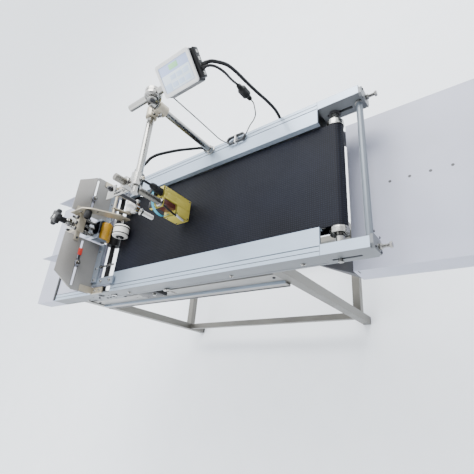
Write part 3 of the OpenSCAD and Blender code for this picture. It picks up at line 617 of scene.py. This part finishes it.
# motor and control box under the belt
piece("motor_housing", "black_plastic", [
    rbox((-668, 60, -120), (-612, 136, -43), 3),
    *(lathe([(24, 0), (30, 0.6), (30, 2.6), (24, 3.2)], (MOTOR_X, -58 + 7.8 * k, MOTOR_Z), BACK, 48)
      for k in range(15)),
    rod((MOTOR_X, -60, MOTOR_Z), (MOTOR_X, 62, MOTOR_Z), 25, 1, 48),
    rbox((-668, -192, -114), (-579, -60, -44.2), 2.5),
    rbox((-660, 20, -72), (-620, 56, -43), 1),
], "frame", ["drive_motor"])
piece("motor_cross_plate", "anodised", [
    rbox((-668, -198, -44), (-612, 198, -39), 0.6)], mat=M["anodised_y"])
piece("control_box_fittings", "bright_steel", [
    *(screw((x, -192, z), FRONT, 2.6, 1.8) for x in (-660, -587) for z in (-106, -52)),
    lathe([(7, 0), (7, 1), (5.4, 1.4), (5.2, 5), (4.2, 5.6), (0, 5.8)], (-600, -192, -80), FRONT, 32),
])
b = Batch("timing_teeth", "black_rubber")
TOOTH_R_DRIVE, TOOTH_R_MOTOR = 15.3, 10.3
run_x, run_z = MOTOR_X - DRIVE_X, MOTOR_Z - ROLLER_Z
lean = math.atan2(run_z, run_x)
spread = math.acos((TOOTH_R_DRIVE - TOOTH_R_MOTOR) / math.hypot(run_x, run_z))
for s in SIDES:
    a = lean + s * spread
    p0 = Vector(on_circle(DRIVE_X, 0, ROLLER_Z, TOOTH_R_DRIVE, a))
    p1 = Vector(on_circle(MOTOR_X, 0, MOTOR_Z, TOOTH_R_MOTOR, a))
    for k in range(1, 27):
        q = p0.lerp(p1, k / 27)
        b.add(rod((q.x, 144.5, q.z), (q.x, 155.5, q.z), 0.75, 0.2, 8))
b.done()

# stand's upper rails: rolled edges, bolts
b = Batch("lower_rail_trim", "dark_sheet")
for s in SIDES:
    b.add(rbox((-997, s * 183.6 - 1.2, -193.4), (-182.5, s * 183.6 + 1.2, -188), 0.8))
    for x in (-980, -200):
        b.add(screw((x, s * 174, -136), (0, s, 0), 4.5, 3))
b.done()
piece("lower_rail_ledge", "anodised", [
    rbox((-996.5, s * 174.2, -167.1), (-183, s * 183.4, -166.2), 0.4) for s in SIDES])

# tables: folded edges, joint strip, tray details
piece("tray_rolled_edges", "sheet", [
    *(rod((26, s * 199.2, -100.8), (337.2, s * 199.2, -100.8), 0.9, 0.2, 12) for s in SIDES),
    rod((26, -199.2, -100.8), (26, 199.2, -100.8), 0.9, 0.2, 12),
    rod((337.2, -199.2, -100.8), (337.2, 199.2, -100.8), 0.9, 0.2, 12),
])
piece("tray_hole_rims", "dark_sheet", [
    *(lathe([(2.3, -0.1), (3.4, 0.0), (3.2, 0.25), (2.35, 0.2)],
            (181.5 + 41.5 * (k - 1.5), 0, -100), UP, 24) for k in range(4)),
    rbox((33, -200.6, -118), (36, -199.8, -103), 0.3),
])
piece("table_rolled_edges", "sheet", [
    *(rod((-1154.4, s * 199.3, 15.3), (-1034.4, s * 199.3, 15.3), 0.8, 0.2, 12) for s in SIDES),
    rod((-1154.3, -199.2, 15.3), (-1154.3, 199.2, 15.3), 0.8, 0.2, 12),
])
b = Batch("tray_strap_bolts", "bright_steel")
for s in SIDES:
    for y in (170, 190):
        b.add(nut((-8, s * y, -43), DOWN, 4.6, 3.2))
    b.add(nut((27.4, s * 180, -150), RIGHT, 4.6, 3.4))
b.done()

# ---------------------------------------------------------------- feeder gate
warm_grey = material("warm_grey_upper", (0.30, 0.285, 0.265), 0.36, 0.35, "peel", 0.06, 0.06)
piece("baffle_upper_faces", "zinc", [
    prism([(-33, 100), (-33, 155), (-159.5, 155), (-198, 100)], -795.9, -791.4, "yz", 0.3),
    prism([(51, 100), (51, 155), (159.5, 155), (198, 100)], -795.9, -791.4, "yz", 0.3),
], mat=warm_grey)
piece("baffle_slot_rims", "dark_sheet", [
    rbox((-792.4, y0, z - 0.5), (-791.2, y1, z + 0.5), 0.3)
    for y0, y1 in ((-190, -40), (58, 190)) for z in (88.3, 97.7)])
red = material("red_pointer", (0.60, 0.045, 0.03), 0.4, 0, "grain", 0.1, 0.05)
piece("guide_pointer", "ink", [
    rbox((-791.7, -90, 86.6), (-789.2, -67, 99.4), 0.6)], "front_side_guide", mat=red)
piece("guide_pointer_arm", "dark_sheet", [
    rbox((-791.7, -108, 89.5), (-790.0, -89, 96.5), 0.5)], "front_side_guide")


def guide_nut(name, body, y):
    """Dark clamp nut on its stud, in the baffle's slot."""
    piece(name, "zinc", [
        lathe([(8.8, 0), (9.4, 0.8), (9.4, 2.6), (8, 3.4)], (-791.6, y, SLOT_Z), RIGHT, 32),
        nut((-788.4, y, SLOT_Z), RIGHT, 7.6, 7),
    ], body, mat=M["dark_steel"])
    piece(name + "_stud", "bright_steel", [
        rod((-799, y, SLOT_Z), (-778, y, SLOT_Z), 3, 0.5, 20),
        nut((-799.4, y, SLOT_Z), RIGHT, 6, 3.6),
    ], body)


guide_nut("front_guide_knob", "front_side_guide", -117)
guide_nut("rear_guide_knob", "rear_side_guide", 117)
for y, end in ((-103, "front"), (103, "rear")):
    piece("guide_hem_" + end, "sheet", [
        sweep(catmull([(-911.4, y, 146.2), (-850, y, 146.6), (-797, y, 146.2)], 4), 1.3, 10),
        sweep(catmull([(-911.0, y, 146), (-890, y, 82), (-872.5, y, 26)], 4), 1.2, 10),
    ], end + "_side_guide")

b = Batch("gate_bar_screws", "bright_steel")
for y in (-158, -120, -60, 70, 120, 158):
    b.add(screw((-778, y, 31), UP, 3.6, 2.4))
for s in SIDES:
    for x in (-745, -700):
        b.add(washer((x, s * 164, 25), UP, 5.5, 0.8))
        b.add(screw((x, s * 164, 25.7), UP, 4.2, 2.8))
    for x in (-777, -751):
        b.add(screw((x, s * 190, 20), UP, 4.2, 2.8))
b.add(rod((-758, -116, 29), (-689, -116, 29), 3.1, 0.8, 20))
b.add(lathe([(3.2, 0), (5.5, 0.5), (5.5, 6), (3.2, 6.5)], (-758, -116, 29), RIGHT, 24))
b.done()

# ---------------------------------------------------------------- separator
piece("separator_block_body", "zinc", [
    rbox((-850, -20, 106), (-778, 42, 130), 1.6),
    rbox((-792, -48, 110), (-787, 40, 126), 0.8),
], "frame", ["separator_block"])
piece("separator_bush", "bright_steel", [
    lathe([(14, 0), (14, 5), (12.6, 6), (12.6, 17), (11.4, 18), (11.4, 22), (10, 23.6), (4.2, 23.6)],
          (KNOB_X, KNOB_Y, 129.5), UP, 44),
    rbox((-842, -12, 129.6), (-798, 36, 131.6), 1),
    *(screw((x, y, 131.5), UP, 4.4, 4) for x, y in ((-837, -7), (-803, -7), (-837, 31), (-803, 31))),
])
piece("separator_block_bolts", "dark_sheet", [
    *(lathe([(4, 0), (4, 6), (3.4, 7), (1.9, 7), (1.9, 4), (0, 4)],
            (KNOB_X + s * 9, KNOB_Y + s * 22, 131), UP, 24) for s in SIDES),
    screw((-787, -40, 118), RIGHT, 3.8, 2.8),
    *(lathe([(4.3, 0), (6.4, 0.6), (6.4, 4), (4.3, 4.6)], (-786, y, 130), UP, 32) for y in (-13, 7, 27)),
])

piece("rod_backing", "black_plastic", [rbox((-791.5, -20, 84), (-790.1, 40, 106), 0.4)])

piece("star_knob_body", "black_plastic", [
    lathe([(8.5, 0), (9.8, 1), (9.8, 18), (11.5, 23), (15, 24.5)], (KNOB_X, KNOB_Y, 153.6), UP, 40),
    lathe([(15, 0), (22.5, 1.5), (24.4, 4.5), (24.4, 11.5), (22.8, 14.6), (17, 16.6), (9, 16.6),
           (8, 15.4), (0, 15.4)], (KNOB_X, KNOB_Y, 176.3), UP, 84,
          lambda i, a: 1 + (0.145 * math.cos(6 * a) if i < 6 else 0)),
], "star_knob", ["star_knob"])
prof = [(3.6, 0)] + ribs([(4.0, 0.8), (3.5, 1.8)], 2, 45)
piece("star_knob_screw", "bright_steel", [
    lathe(prof, (KNOB_X, KNOB_Y, 60), UP, 20),
    lathe([(7.4, 0), (7.4, 0.8), (6.4, 1.4), (0, 1.5)], (KNOB_X, KNOB_Y, 191.4), UP, 32),
], "star_knob")

piece("separator_frame", "anodised", [
    rbox((-834, -13, 63), (-754, 35, 69), 1),
    rbox((-792, -28, 63), (-754, 42, 69), 1),
    *(prism([(-792, 68), (-756, 68), (-756, 34), (-764, 27), (-784, 27), (-792, 34)],
            y, y + 4, "xz", 0.6) for y in (-28, 38)),
], "separator_carriage", ["separator_carriage"], mat=M["anodised_y"])
piece("separator_rods", "bright_steel", [
    *(rod((x, y, 68), (x, y, 138), 4, 0.8, 28) for x, y in SEP_RODS),
    rod((SEP_X, -30, SEP_Z), (SEP_X, 44, SEP_Z), 6, 0.8, 28),
    nut((SEP_X, -29, SEP_Z), FRONT, 8, 3),
    nut((SEP_X, 43, SEP_Z), BACK, 8, 3),
], "separator_carriage")
prof = [(8, 0), (19.4, 0.2), (20.6, 1.0), (21, 2.2)]
prof += ribs([(21, 3), (21, 7.6), (20.3, 8.1), (20.3, 8.7)], 6.2, 9)
prof += [(21, 59), (20.4, 60.4), (19.4, 61), (8, 61)]
piece("separator_roller_tyre", "gold_rubber", [
    lathe(prof, (SEP_X, -23.5, SEP_Z), BACK, 56),
], "separator_roller", ["separator_roller"])
piece("separator_roller_hubs", "bright_steel", [
    lathe([(6.2, 0), (12, 0.2), (12, 1.6), (10.5, 2.2), (6.2, 2.2)],
          (SEP_X, 7 + s * 30.4, SEP_Z), (0, s, 0), 40) for s in SIDES], "separator_roller")
for i, (x, y) in enumerate(SEP_RODS):
    b = Batch("separator_spring_%d" % (i + 1), "bright_steel", "frame")
    b.add(sweep(helix(x, y, 70, 105, 6.6, 7, 16), 0.9, 8))
    o = b.done(ride=False)
    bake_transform(o)

piece("lock_knob_body", "black_plastic", [
    lathe([(8, 0), (10.5, 0.8), (11, 2), (11, 22), (10, 25.4), (8, 26.6), (5, 26.7), (4.4, 24),
           (0, 24)], (-742, 41.6, 125), FRONT, 60,
          lambda i, a: 1 + (0.05 * math.cos(15 * a) if 1 < i < 4 else 0)),
    rod((-742, 40, 125), (-742, 52, 125), 3, 0.6, 20),
], "lock_knob", ["lock_knob"])

piece("arm_screws", "bright_steel", [
    nut((-768, 46, 136), BACK, 6, 4),
    screw((-803, 46, 138), BACK, 4.2, 3),
    screw((-803, 46, 122), BACK, 4.2, 3),
    screw((-768, 42, 136), FRONT, 4.6, 3),
    screw((-722, 42, 105), FRONT, 3.6, 2.6),
    washer((PRESS_X, 46, PRESS_Z), BACK, 9, 1, 0.6),
    *(lathe([(4.6, 0), (6.4, 0.5), (6.4, 3.5), (4.6, 4)], (-704, y, 62), BACK, 28) for y in (66.8, 127)),
])

prof = [(9, 0), (22, 0.3), (24, 1.2), (25, 2.8), (25, 6.2), (23.6, 6.8), (23.6, 9.2), (25, 9.8),
        (25, 28.2), (23.6, 28.8), (23.6, 31.2), (25, 31.8), (25, 35.2), (24, 36.8), (22, 37.7), (9, 38)]
piece("front_press_body", "white_rubber", [
    lathe(prof, (PRESS_X, -21, PRESS_Z), BACK, 64),
], "front_press_roller", ["front_press_roller"])
b = Batch("front_press_rings", "black_rubber", "front_press_roller")
for y in (-13, 9):
    pts = [on_circle(PRESS_X, y, PRESS_Z, 24.0, 2 * math.pi * k / 48) for k in range(49)]
    b.add(sweep(pts, 2.2, 10, ends=False))
b.add(lathe([(5, 0), (13, 0.2), (13, 2.4), (11.5, 3.2), (7, 3.2)], (PRESS_X, -20.8, PRESS_Z), FRONT, 40))
b.done()
piece("front_press_axle", "bright_steel", [
    rod((PRESS_X, -26, PRESS_Z), (PRESS_X, 50, PRESS_Z), 5, 0.8, 28),
    nut((PRESS_X, 46.4, PRESS_Z), BACK, 8, 3.6),
], "front_press_roller")
prof = [(4, 0), (11, 0.2), (12.4, 0.9), (13, 2), (13, 20), (12.2, 20.6), (12.2, 23.4), (13, 24),
        (13, 42), (12.4, 43.1), (11, 43.8), (4, 44)]
piece("rear_press_body", "white_rubber", [
    lathe(prof, (PRESS_X, 74, IDLER_Z), BACK, 56),
], "rear_press_roller", ["rear_press_roller"])
piece("rear_press_axle", "bright_steel", [
    rod((PRESS_X, 65, IDLER_Z), (PRESS_X, 127, IDLER_Z), 4, 0.6, 24)], "rear_press_roller")

# ---------------------------------------------------------------- print station
piece("post_base_ring", "bright_steel", [
    lathe([(9.3, 0), (14, 0.2), (14, 3.2), (12.6, 4), (12, 12), (11, 13), (9.2, 13)],
          (POST_X, POST_Y, 16), UP, 44),
    screw((-338, 178.2, 23), FRONT, 2.6, 1.6),
])
piece("lead_gland", "black_plastic", [
    lathe([(6.4, 0), (6.4, 3), (5.6, 3.4), (5.2, 9), (3.8, 11.5)], (-354, 193, 16), UP, 28,
          lambda i, a: hexagon(a) if i < 2 else 1),
])
piece("post_clamp_body", "zinc", [
    lathe([(9.4, 0), (14.5, 0), (15.5, 1), (15.5, 29), (14.5, 30), (9.4, 30)],
          (POST_X, POST_Y, 199), UP, 48),
    lathe([(9.4, 0), (13.5, 0), (14.5, 1), (14.5, 29), (13.5, 30), (9.4, 30)],
          (CROSS_X, 175, CROSS_Z), BACK, 48),
    rbox((-368, 179.4, 205.4), (-342, 200.6, 224.6), 2, 3),
], "frame", ["post_clamp"])
piece("post_clamp_screws", "bright_steel", [
    *(screw((-354.5, 179.4, z), FRONT, 3.2, 3) for z in (206, 220)),
    rod((-338, 176, 213), (-338, 167.8, 213), 5, 1, 28),
    lathe([(11, 0), (12.6, 0.8), (12.6, 2.4), (11, 3)], (POST_X, POST_Y, 229), UP, 36),
])
piece("post_clamp_slit", "dark_sheet", [
    rbox((-354.1, 180.6, 198.8), (-352.7, 199.4, 229.2), 0.2),
    rbox((-387, 174.8, 214.3), (-380.6, 205.2, 215.7), 0.2),
])

piece("swivel_discs", "bright_steel", [
    *(lathe([(9, 0), (21, 0.2), (21, 8), (19.8, 9.6), (17, 10.2), (16.5, 12.6), (9, 13)] if s < 0 else
            [(9, 0), (21, 0.2), (21, 8), (19.8, 9.6), (12, 10.2), (11.5, 13.6), (9, 14)],
            (SWIVEL_X, POST_Y + s * 0.7, ARM_Z), (0, s, 0), 60) for s in SIDES),
    lathe([(12.5, 0), (12.5, 3.2), (10.4, 4)], (SWIVEL_X, 176.2, ARM_Z), FRONT, 40),
    lathe([(9.4, 0), (12.5, 0), (13.5, 1), (13.5, 13), (12.5, 14), (0, 14)], (POST_X, POST_Y, 234), UP, 44),
    rbox((-336, 180, 236), (-318, 200, 249), 2, 3),
], "frame", ["swivel_clamp"])
b = Batch("swivel_teeth", "dark_sheet")
for k in range(48):
    a = 2 * math.pi * k / 48
    b.add(rod(on_circle(SWIVEL_X, 189.9, ARM_Z, 14.5, a), on_circle(SWIVEL_X, 189.9, ARM_Z, 20.5, a),
              0.9, 0.1, 6))
b.add(screw((SWIVEL_X, 172.4, ARM_Z), FRONT, 6.4, 2.4))
b.done()
piece("display_rod_caps", "bright_steel", [
    lathe([(9, 0), (9.05, 0.6), (8.2, 1.2), (0, 1.3)], (-403.3, POST_Y, ARM_Z), LEFT, 36)])

piece("cross_clamp_body", "bright_steel", [
    lathe([(9.4, 0), (13.5, 0), (14.5, 1), (14.5, 33), (13.5, 34), (9.4, 34)],
          (CROSS_X, -32, CROSS_Z), BACK, 48),
    lathe([(9.4, 0), (14, 0), (15, 1), (15, 29), (14, 30), (9.4, 30)], (HEAD_X, HEAD_Y, 199), UP, 48),
    rbox((-401, -26, 205.4), (-376, -4, 224.6), 2, 3),
    rbox((-421, -24, 199), (-406, -6, 207), 1),
    rbox((-408, -5, 198), (-394, 23, 212), 1.6),
    rod((-359, -15, 215), (-350, -15, 215), 5, 1, 28),
], "cross_clamp", ["cross_clamp"])
piece("cross_clamp_slits", "dark_sheet", [
    rbox((-420.2, -15.7, 207.5), (-414.6, -14.3, 229.2), 0.2),
    rbox((-364, -32.2, 214.3), (-357.4, 2.2, 215.7), 0.2),
], "cross_clamp")
piece("cross_clamp_screws", "bright_steel", [
    *(screw((-388.5, -26, z), FRONT, 3.2, 3) for z in (209, 221)),
    screw((-350, -15, 215), RIGHT, 4.2, 2.8),
], "cross_clamp", mat=M["zinc"])
piece("head_arm_end", "bright_steel", [
    lathe([(9, -1), (9.04, 0.2), (8.3, 0.9), (0, 1)], (CROSS_X, -50, CROSS_Z), FRONT, 36)])

# print head
piece("head_shell", "khaki", [
    *(rbox((x, y0, z0), (-400, y1, z1), 0.7) for x, y0, z0, y1, z1 in (
        (-446, 2, 56, 4, 112), (-446, 36, 8, 38, 112), (-446, 2, 108, 38, 112), (-402, 2, 8, 10, 112),
        (-402, 24, 8, 38, 112), (-402, 9, 8, 25, 62), (-402, 9, 98, 25, 112), (-446, -26, 8, -24, 60),
        (-446, -26, 56, 4, 60), (-402, -26, 8, 4, 60), (-446, -24, 104, 4, 112))),
    *(rbox((-400.6, 4, z), (-399.4, 30, z + 2), 0.5) for z in (16, 22, 28, 34)),
], "print_head", ["head_case"])
piece("head_window_plate", "khaki", [rbox((-402, 8.5, 61), (-400.3, 25.5, 99), 0.3)], "print_head")
brown = material("brown_cover", (0.085, 0.022, 0.016), 0.35, 0, "grain", 0.12, 0.08, coat=0.2)
piece("head_side_cover", "ink", [
    rbox((-440, -13, 60.2), (-401.5, 1.8, 103.8), 1.2)], "print_head", mat=brown)
piece("head_screws", "bright_steel", [
    *(screw((-400, y, z), RIGHT, 2.2, 1.4) for y, z in ((-21, 14), (-21, 54), (33, 14), (33, 104))),
    *(screw((x, -26, z), FRONT, 2.2, 1.4) for x in (-440, -408) for z in (16, 52)),
    lathe([(9.2, 0), (12.6, 0.3), (12.6, 4.5), (11, 6), (9.2, 6.4)], (HEAD_X, HEAD_Y, 112), UP, 40),
], "print_head", ["head_rod"])
piece("head_rod_bar", "bright_steel", [
    rod((HEAD_X, HEAD_Y, 112), (HEAD_X, HEAD_Y, 255.6), 9, 0.9, 36)], "print_head", mat=M["dark_steel"])
piece("head_connector", "black_plastic", [
    rbox((-410, 5, 112), (-399.8, 25, 138), 1.6, 3),
    rbox((-409, 7, 138), (-400.2, 23, 143), 1),
    lathe([(8.8, 0), (9.4, 2), (9.2, 8), (7.6, 14), (5.4, 17), (3.9, 18)], (-401, 15, 139), UP, 32),
    *(rbox((-399.9, 7, z), (-399.2, 23, z + 2.2), 0.4) for z in (116, 121, 126, 131)),
], "print_head")
piece("head_latch", "black_plastic", [
    rbox((-440, 10, 112), (-420, 32, 122), 2, 3),
    rbox((-436, 14, 122), (-424, 28, 130), 2, 3),
    rbox((-446, -23, 112), (-430, -4, 117), 1.4, 2),
], "print_head")


def ribbon(pts, width, wide):
    """Flat flexible strip along pts, with ridges and with its width along wide."""
    wide = Vector(wide)
    path = catmull(pts)
    bm = bmesh.new()
    rows = []
    lanes = 12
    for i, p in enumerate(path):
        row = []
        t = (path[min(i + 1, len(path) - 1)] - path[max(i - 1, 0)]).normalized()
        nrm = t.cross(wide).normalized()
        for side in (0.45, -0.45):
            for k in range(lanes + 1):
                yy = -width / 2 + width * k / lanes
                ridge = 0.22 if k % 2 else 0.0
                row.append(bm.verts.new(p + wide * yy + nrm * (side + math.copysign(ridge, side))))
        rows.append(row)
    n = lanes + 1
    for a, c in zip(rows, rows[1:]):
        for k in range(lanes):
            bm.faces.new((a[k], a[k + 1], c[k + 1], c[k]))
            bm.faces.new((a[n + k], c[n + k], c[n + k + 1], a[n + k + 1]))
        bm.faces.new((a[0], c[0], c[n], a[n]))
        bm.faces.new((a[n - 1], a[2 * n - 1], c[2 * n - 1], c[n - 1]))
    for row in (rows[0], rows[-1]):
        for k in range(lanes):
            bm.faces.new((row[k], row[k + 1], row[n + k + 1], row[n + k]))
    return bm


cyan = material("cyan_ribbon", (0.03, 0.26, 0.36), 0.4, 0, "brush_z", 0.12, 0.08)
piece("head_ribbon", "white_plastic", [
    ribbon([(-424, 28, 122.4), (-424, 20, 127), (-423, 4, 127), (-423, -12, 124), (-424, -27, 116),
            (-424, -36, 102), (-425, -37, 86), (-427, -30, 72), (-428, -20, 60.6)], 9, RIGHT),
], "print_head", mat=cyan)
piece("head_flex", "black_plastic", [
    sweep(catmull([(-410, -16, 103), (-401, -20, 101), (-397.5, -26, 88), (-398, -29, 68),
                   (-400, -30, 48), (-404, -29.5, 30), (-410, -25.8, 20)]), 2.6),
], "print_head")
piece("head_flex_sleeve", "white_plastic", [
    sweep(catmull([(-397.6, -29.4, 58), (-399.2, -30, 48), (-402.8, -29.8, 34), (-407, -27.5, 24)]), 3.2),
], "print_head")

piece("cartridge_body", "ink", [
    rbox((-444, 6, 30), (-403.4, 34, 105), 2, 3),
    rbox((-444, -22, 30), (-403.4, 8, 53), 2, 3),
    rbox((-438, -20, 9.2), (-409, 8, 31), 1.6, 2),
    rbox((-444.6, 9, 60), (-443.4, 31, 96), 0.5),
], "ink_cartridge", ["ink_cartridge"])
piece("cartridge_grip", "black_plastic", [
    *(rbox((-445.3, -18, 35 + 3.4 * k), (-443.6, 30, 36.6 + 3.4 * k), 0.5) for k in range(5)),
    rbox((-430, -16, 8.4), (-417, 4, 9.4), 0.3),
], "ink_cartridge")

# sensor
piece("sensor_link", "bright_steel", [
    rbox((-512, -23, 200), (-480, 15, 204), 1),
    rbox((-481, -23, 200), (-432, -18, 204), 0.8),
    rbox((-481, -12, 200), (-432, -7, 204), 0.8),
    rbox((-434, -23, 200), (-420.8, -7, 204), 0.8),
    lathe([(10, 0), (12, 0.6), (12, 11.6), (10, 12.4)], (SENSOR_X, SENSOR_Y, 112), UP, 40),
    rbox((-512, -25, 112.2), (-490, 14, 124.3), 1.6),
    screw((-500, -25, 118), FRONT, 3, 2.4),
    screw((-441, -15, 204), UP, 4.4, 3),
    washer((-441, -15, 203.8), UP, 6.6, 0.7),
], "cross_clamp", ["sensor_arm"])
piece("sensor_rod", "dark_sheet", [
    rod((-500, 7, 112.5), (-500, 7, 214), 5, 0.8, 28),
    nut((-500, 7, 204), UP, 8, 4),
    nut((-500, 7, 200), DOWN, 8, 4),
], "cross_clamp")
prof = [(5, 0), (6.2, 0.2), (6.8, 1.2)] + ribs([(7.0, 2), (6.5, 3.1)], 2.2, 32)
prof += [(7, 73), (7, 90), (6, 92), (4.4, 93), (4, 94)]
piece("sensor_body", "white_plastic", [
    lathe(prof, (SENSOR_X, SENSOR_Y, 56), UP, 28),
], "photo_sensor", ["photo_sensor"])
piece("sensor_nuts", "bright_steel", [nut((SENSOR_X, SENSOR_Y, 96), UP, 10.6, 5)], "photo_sensor")
piece("sensor_lens", "ink", [
    lathe([(5.4, 0), (5.2, -0.8), (3, -1.6), (0, -1.9)], (SENSOR_X, SENSOR_Y, 56.4), UP, 28),
], "photo_sensor")

# touch screen, in its own tilted frame about the arm's axis
TILT = math.radians(42.5)
SCREEN_FRAME = Matrix.Translation((-203, POST_Y, ARM_Z)) @ Matrix.Rotation(TILT, 4, "X")


def on_screen(bm):
    """Moves a solid from the screen's own frame into the design frame."""
    bmesh.ops.transform(bm, matrix=SCREEN_FRAME, verts=bm.verts)
    return bm


def round_panel(lo, hi, z0, z1, r, seg=8, inner=None):
    """Rounded rectangle plate or ring in the screen's plane."""
    def loop(rad, z, inset=0.0, l=lo, h=hi):
        x0, y0, x1, y1 = l[0] + inset, l[1] + inset, h[0] - inset, h[1] - inset
        pts = []
        for cx, cy, a0 in ((x1 - rad, y1 - rad, 0), (x0 + rad, y1 - rad, 90),
                           (x0 + rad, y0 + rad, 180), (x1 - rad, y0 + rad, 270)):
            for k in range(seg + 1):
                a = math.radians(a0 + 90 * k / seg)
                pts.append((cx + rad * math.cos(a), cy + rad * math.sin(a), z))
        return pts
    bm = bmesh.new()
    e = 1.2
    small = max(0.3, r - e)
    layers = [loop(small, z0, e), loop(r, z0 + e), loop(r, z1 - e), loop(small, z1, e)]
    if inner:
        l, h, rad, depth = inner
        layers += [loop(rad, z1, 0, l, h), loop(rad, z1 - depth, 0.6, l, h)]
    rings = [[bm.verts.new(p) for p in L] for L in layers]
    for a, c in zip(rings, rings[1:]):
        n = len(a)
        for k in range(n):
            bm.faces.new((a[k], a[(k + 1) % n], c[(k + 1) % n], c[k]))
    bm.faces.new(list(reversed(rings[0])))
    bm.faces.new(rings[-1])
    return bm


piece("screen_shell", "white_plastic", [
    on_screen(round_panel((-51, -36), (51, 36), 36.5, 41, 6, inner=((-43, -28), (43, 28), 1.5, 1.2))),
], "display", ["display_housing"])
piece("screen_back", "black_plastic", [
    on_screen(round_panel((-50.4, -35.4), (50.4, 35.4), 11, 37.5, 6)),
    on_screen(rbox((-16, -13, -13), (16, 13, 13), 3, 3)),
    on_screen(rbox((48, -32, 15), (59, 32, 33), 2, 3)),
    *(on_screen(rbox((-42 + 6 * k, 16, 10.4), (-39 + 6 * k, 32, 11.6), 0.5)) for k in range(10)),
    *(on_screen(rbox((58, y - 5, 18), (59.4, y + 5, 30), 0.6)) for y in (-24, -9, 7, 22)),
], "display")
piece("screen_port_shells", "bright_steel", [
    *(on_screen(rbox((58.6, y - w, 20.5), (59.8, y + w, 27.5), 0.5))
      for y, w in ((-24, 4.0), (-9, 4.4), (7, 4.2), (22, 3.4))),
    *(on_screen(screw((0, y, -13), DOWN, 3.4, 2.6)) for y in (-9, 9)),
    *(on_screen(screw((x, y, 11.4), DOWN, 2.4, 1.4))
      for x, y in ((-44, -29), (44, -29), (-44, 29), (44, 29))),
], "display")
keys = [((-40.5, -26, 40.2), (-21, -11, 40.4), 0.1)]
for k in range(3):
    keys += [((-18 + 19 * k, y, 40.2), (-2 + 19 * k, y + 10, 40.4), 0.1) for y in (-7, -23)]
for name, look, color, tone, boxes in (
        ("screen_glass", "screen_blue", (0.42, 0.52, 0.80), 0.03,
         [((-42.4, -27.4, 39.4), (42.4, 27.4, 40.1), 0.2)]),
        ("screen_fields", "screen_pale", (0.72, 0.83, 0.92), 0.03,
         [((-41, -26.5, 40.0), (41, 8, 40.3), 0.1)]),
        ("screen_label", "screen_green", (0.32, 0.70, 0.34), 0.05,
         [((-13, 13, 40.0), (13, 24, 40.35), 0.1)]),
        ("screen_keys", "screen_soft_blue", (0.55, 0.69, 0.90), 0.05, keys)):
    glow = material(look, color, 0.25, 0, "grain", tone, 0.0, coat=0.5)
    piece(name, "white_plastic", [on_screen(rbox(*q)) for q in boxes], "display", mat=glow)
piece("screen_lead_boots", "black_plastic", [
    lathe([(5.6, 0), (5.6, 3), (5.0, 3.5), (4.8, 9), (4.2, 13)], (-144.5, 172, 268), RIGHT, 24),
    lathe([(4.6, 0), (4.6, 3), (4.0, 3.5), (3.8, 7), (3.2, 10)], (-144.5, 163.5, 266.2), RIGHT, 24),
], "display")

# ---------------------------------------------------------------- floor, light
FLOOR_HALF, FLOOR_Z = 30, -0.0005
corners = ((-1, -1), (1, -1), (1, 1), (-1, 1))
me = bpy.data.meshes.new("floor")
me.from_pydata([(x * FLOOR_HALF, y * FLOOR_HALF, FLOOR_Z) for x, y in corners], [], [(0, 1, 2, 3)])
floor = bpy.data.objects.new("floor", me)
link(floor)
me.materials.append(material("pale_floor", (0.90, 0.93, 0.965), 0.8, 0, "grain", 0.01, 0.0))

# the world is bright all round, with a darker patch that the steel's upper faces reflect
WORLD_STRENGTH = 3.6
world = bpy.data.worlds.new("soft_world")
world.use_nodes = True
sky = world.node_tree
coord = sky.nodes.new("ShaderNodeTexCoord")
facing = sky.nodes.new("ShaderNodeVectorMath")
facing.operation = "DOT_PRODUCT"
facing.inputs[1].default_value = (0.66, -0.42, 0.62)
sky.links.new(coord.outputs["Generated"], facing.inputs[0])
shade = sky.nodes.new("ShaderNodeValToRGB")
shade.color_ramp.elements[0].position = 0.45
shade.color_ramp.elements[0].color = (0.93, 0.965, 1.0, 1)
shade.color_ramp.elements[1].position = 0.82
shade.color_ramp.elements[1].color = (0.10, 0.10, 0.11, 1)
sky.links.new(facing.outputs["Value"], shade.inputs["Fac"])
sky.links.new(shade.outputs["Color"], sky.nodes["Background"].inputs["Color"])
sky.nodes["Background"].inputs["Strength"].default_value = WORLD_STRENGTH
bpy.context.scene.world = world


def area(name, pos, target, size, power, color):
    """Rectangular lamp at pos, turned to target, in metres and watts."""
    d = bpy.data.lights.new(name, "AREA")
    d.shape = "RECTANGLE"
    d.size, d.size_y = size
    d.energy = power
    d.color = color
    o = bpy.data.objects.new(name, d)
    link(o)
    o.location = pos
    o.rotation_euler = (Vector(target) - Vector(pos)).to_track_quat("-Z", "Y").to_euler()


area("key", (0.3, 2.2, 3.0), (0, 0, 0.7), (2.2, 1.4), 130, (1, 0.99, 0.97))
area("fill", (2.2, -2.4, 2.4), (0, 0, 0.6), (2.4, 2.0), 24, (0.95, 0.97, 1))
area("side", (-2.6, -1.6, 1.8), (-0.2, 0, 0.7), (1.6, 1.6), 10, (1, 0.98, 0.95))
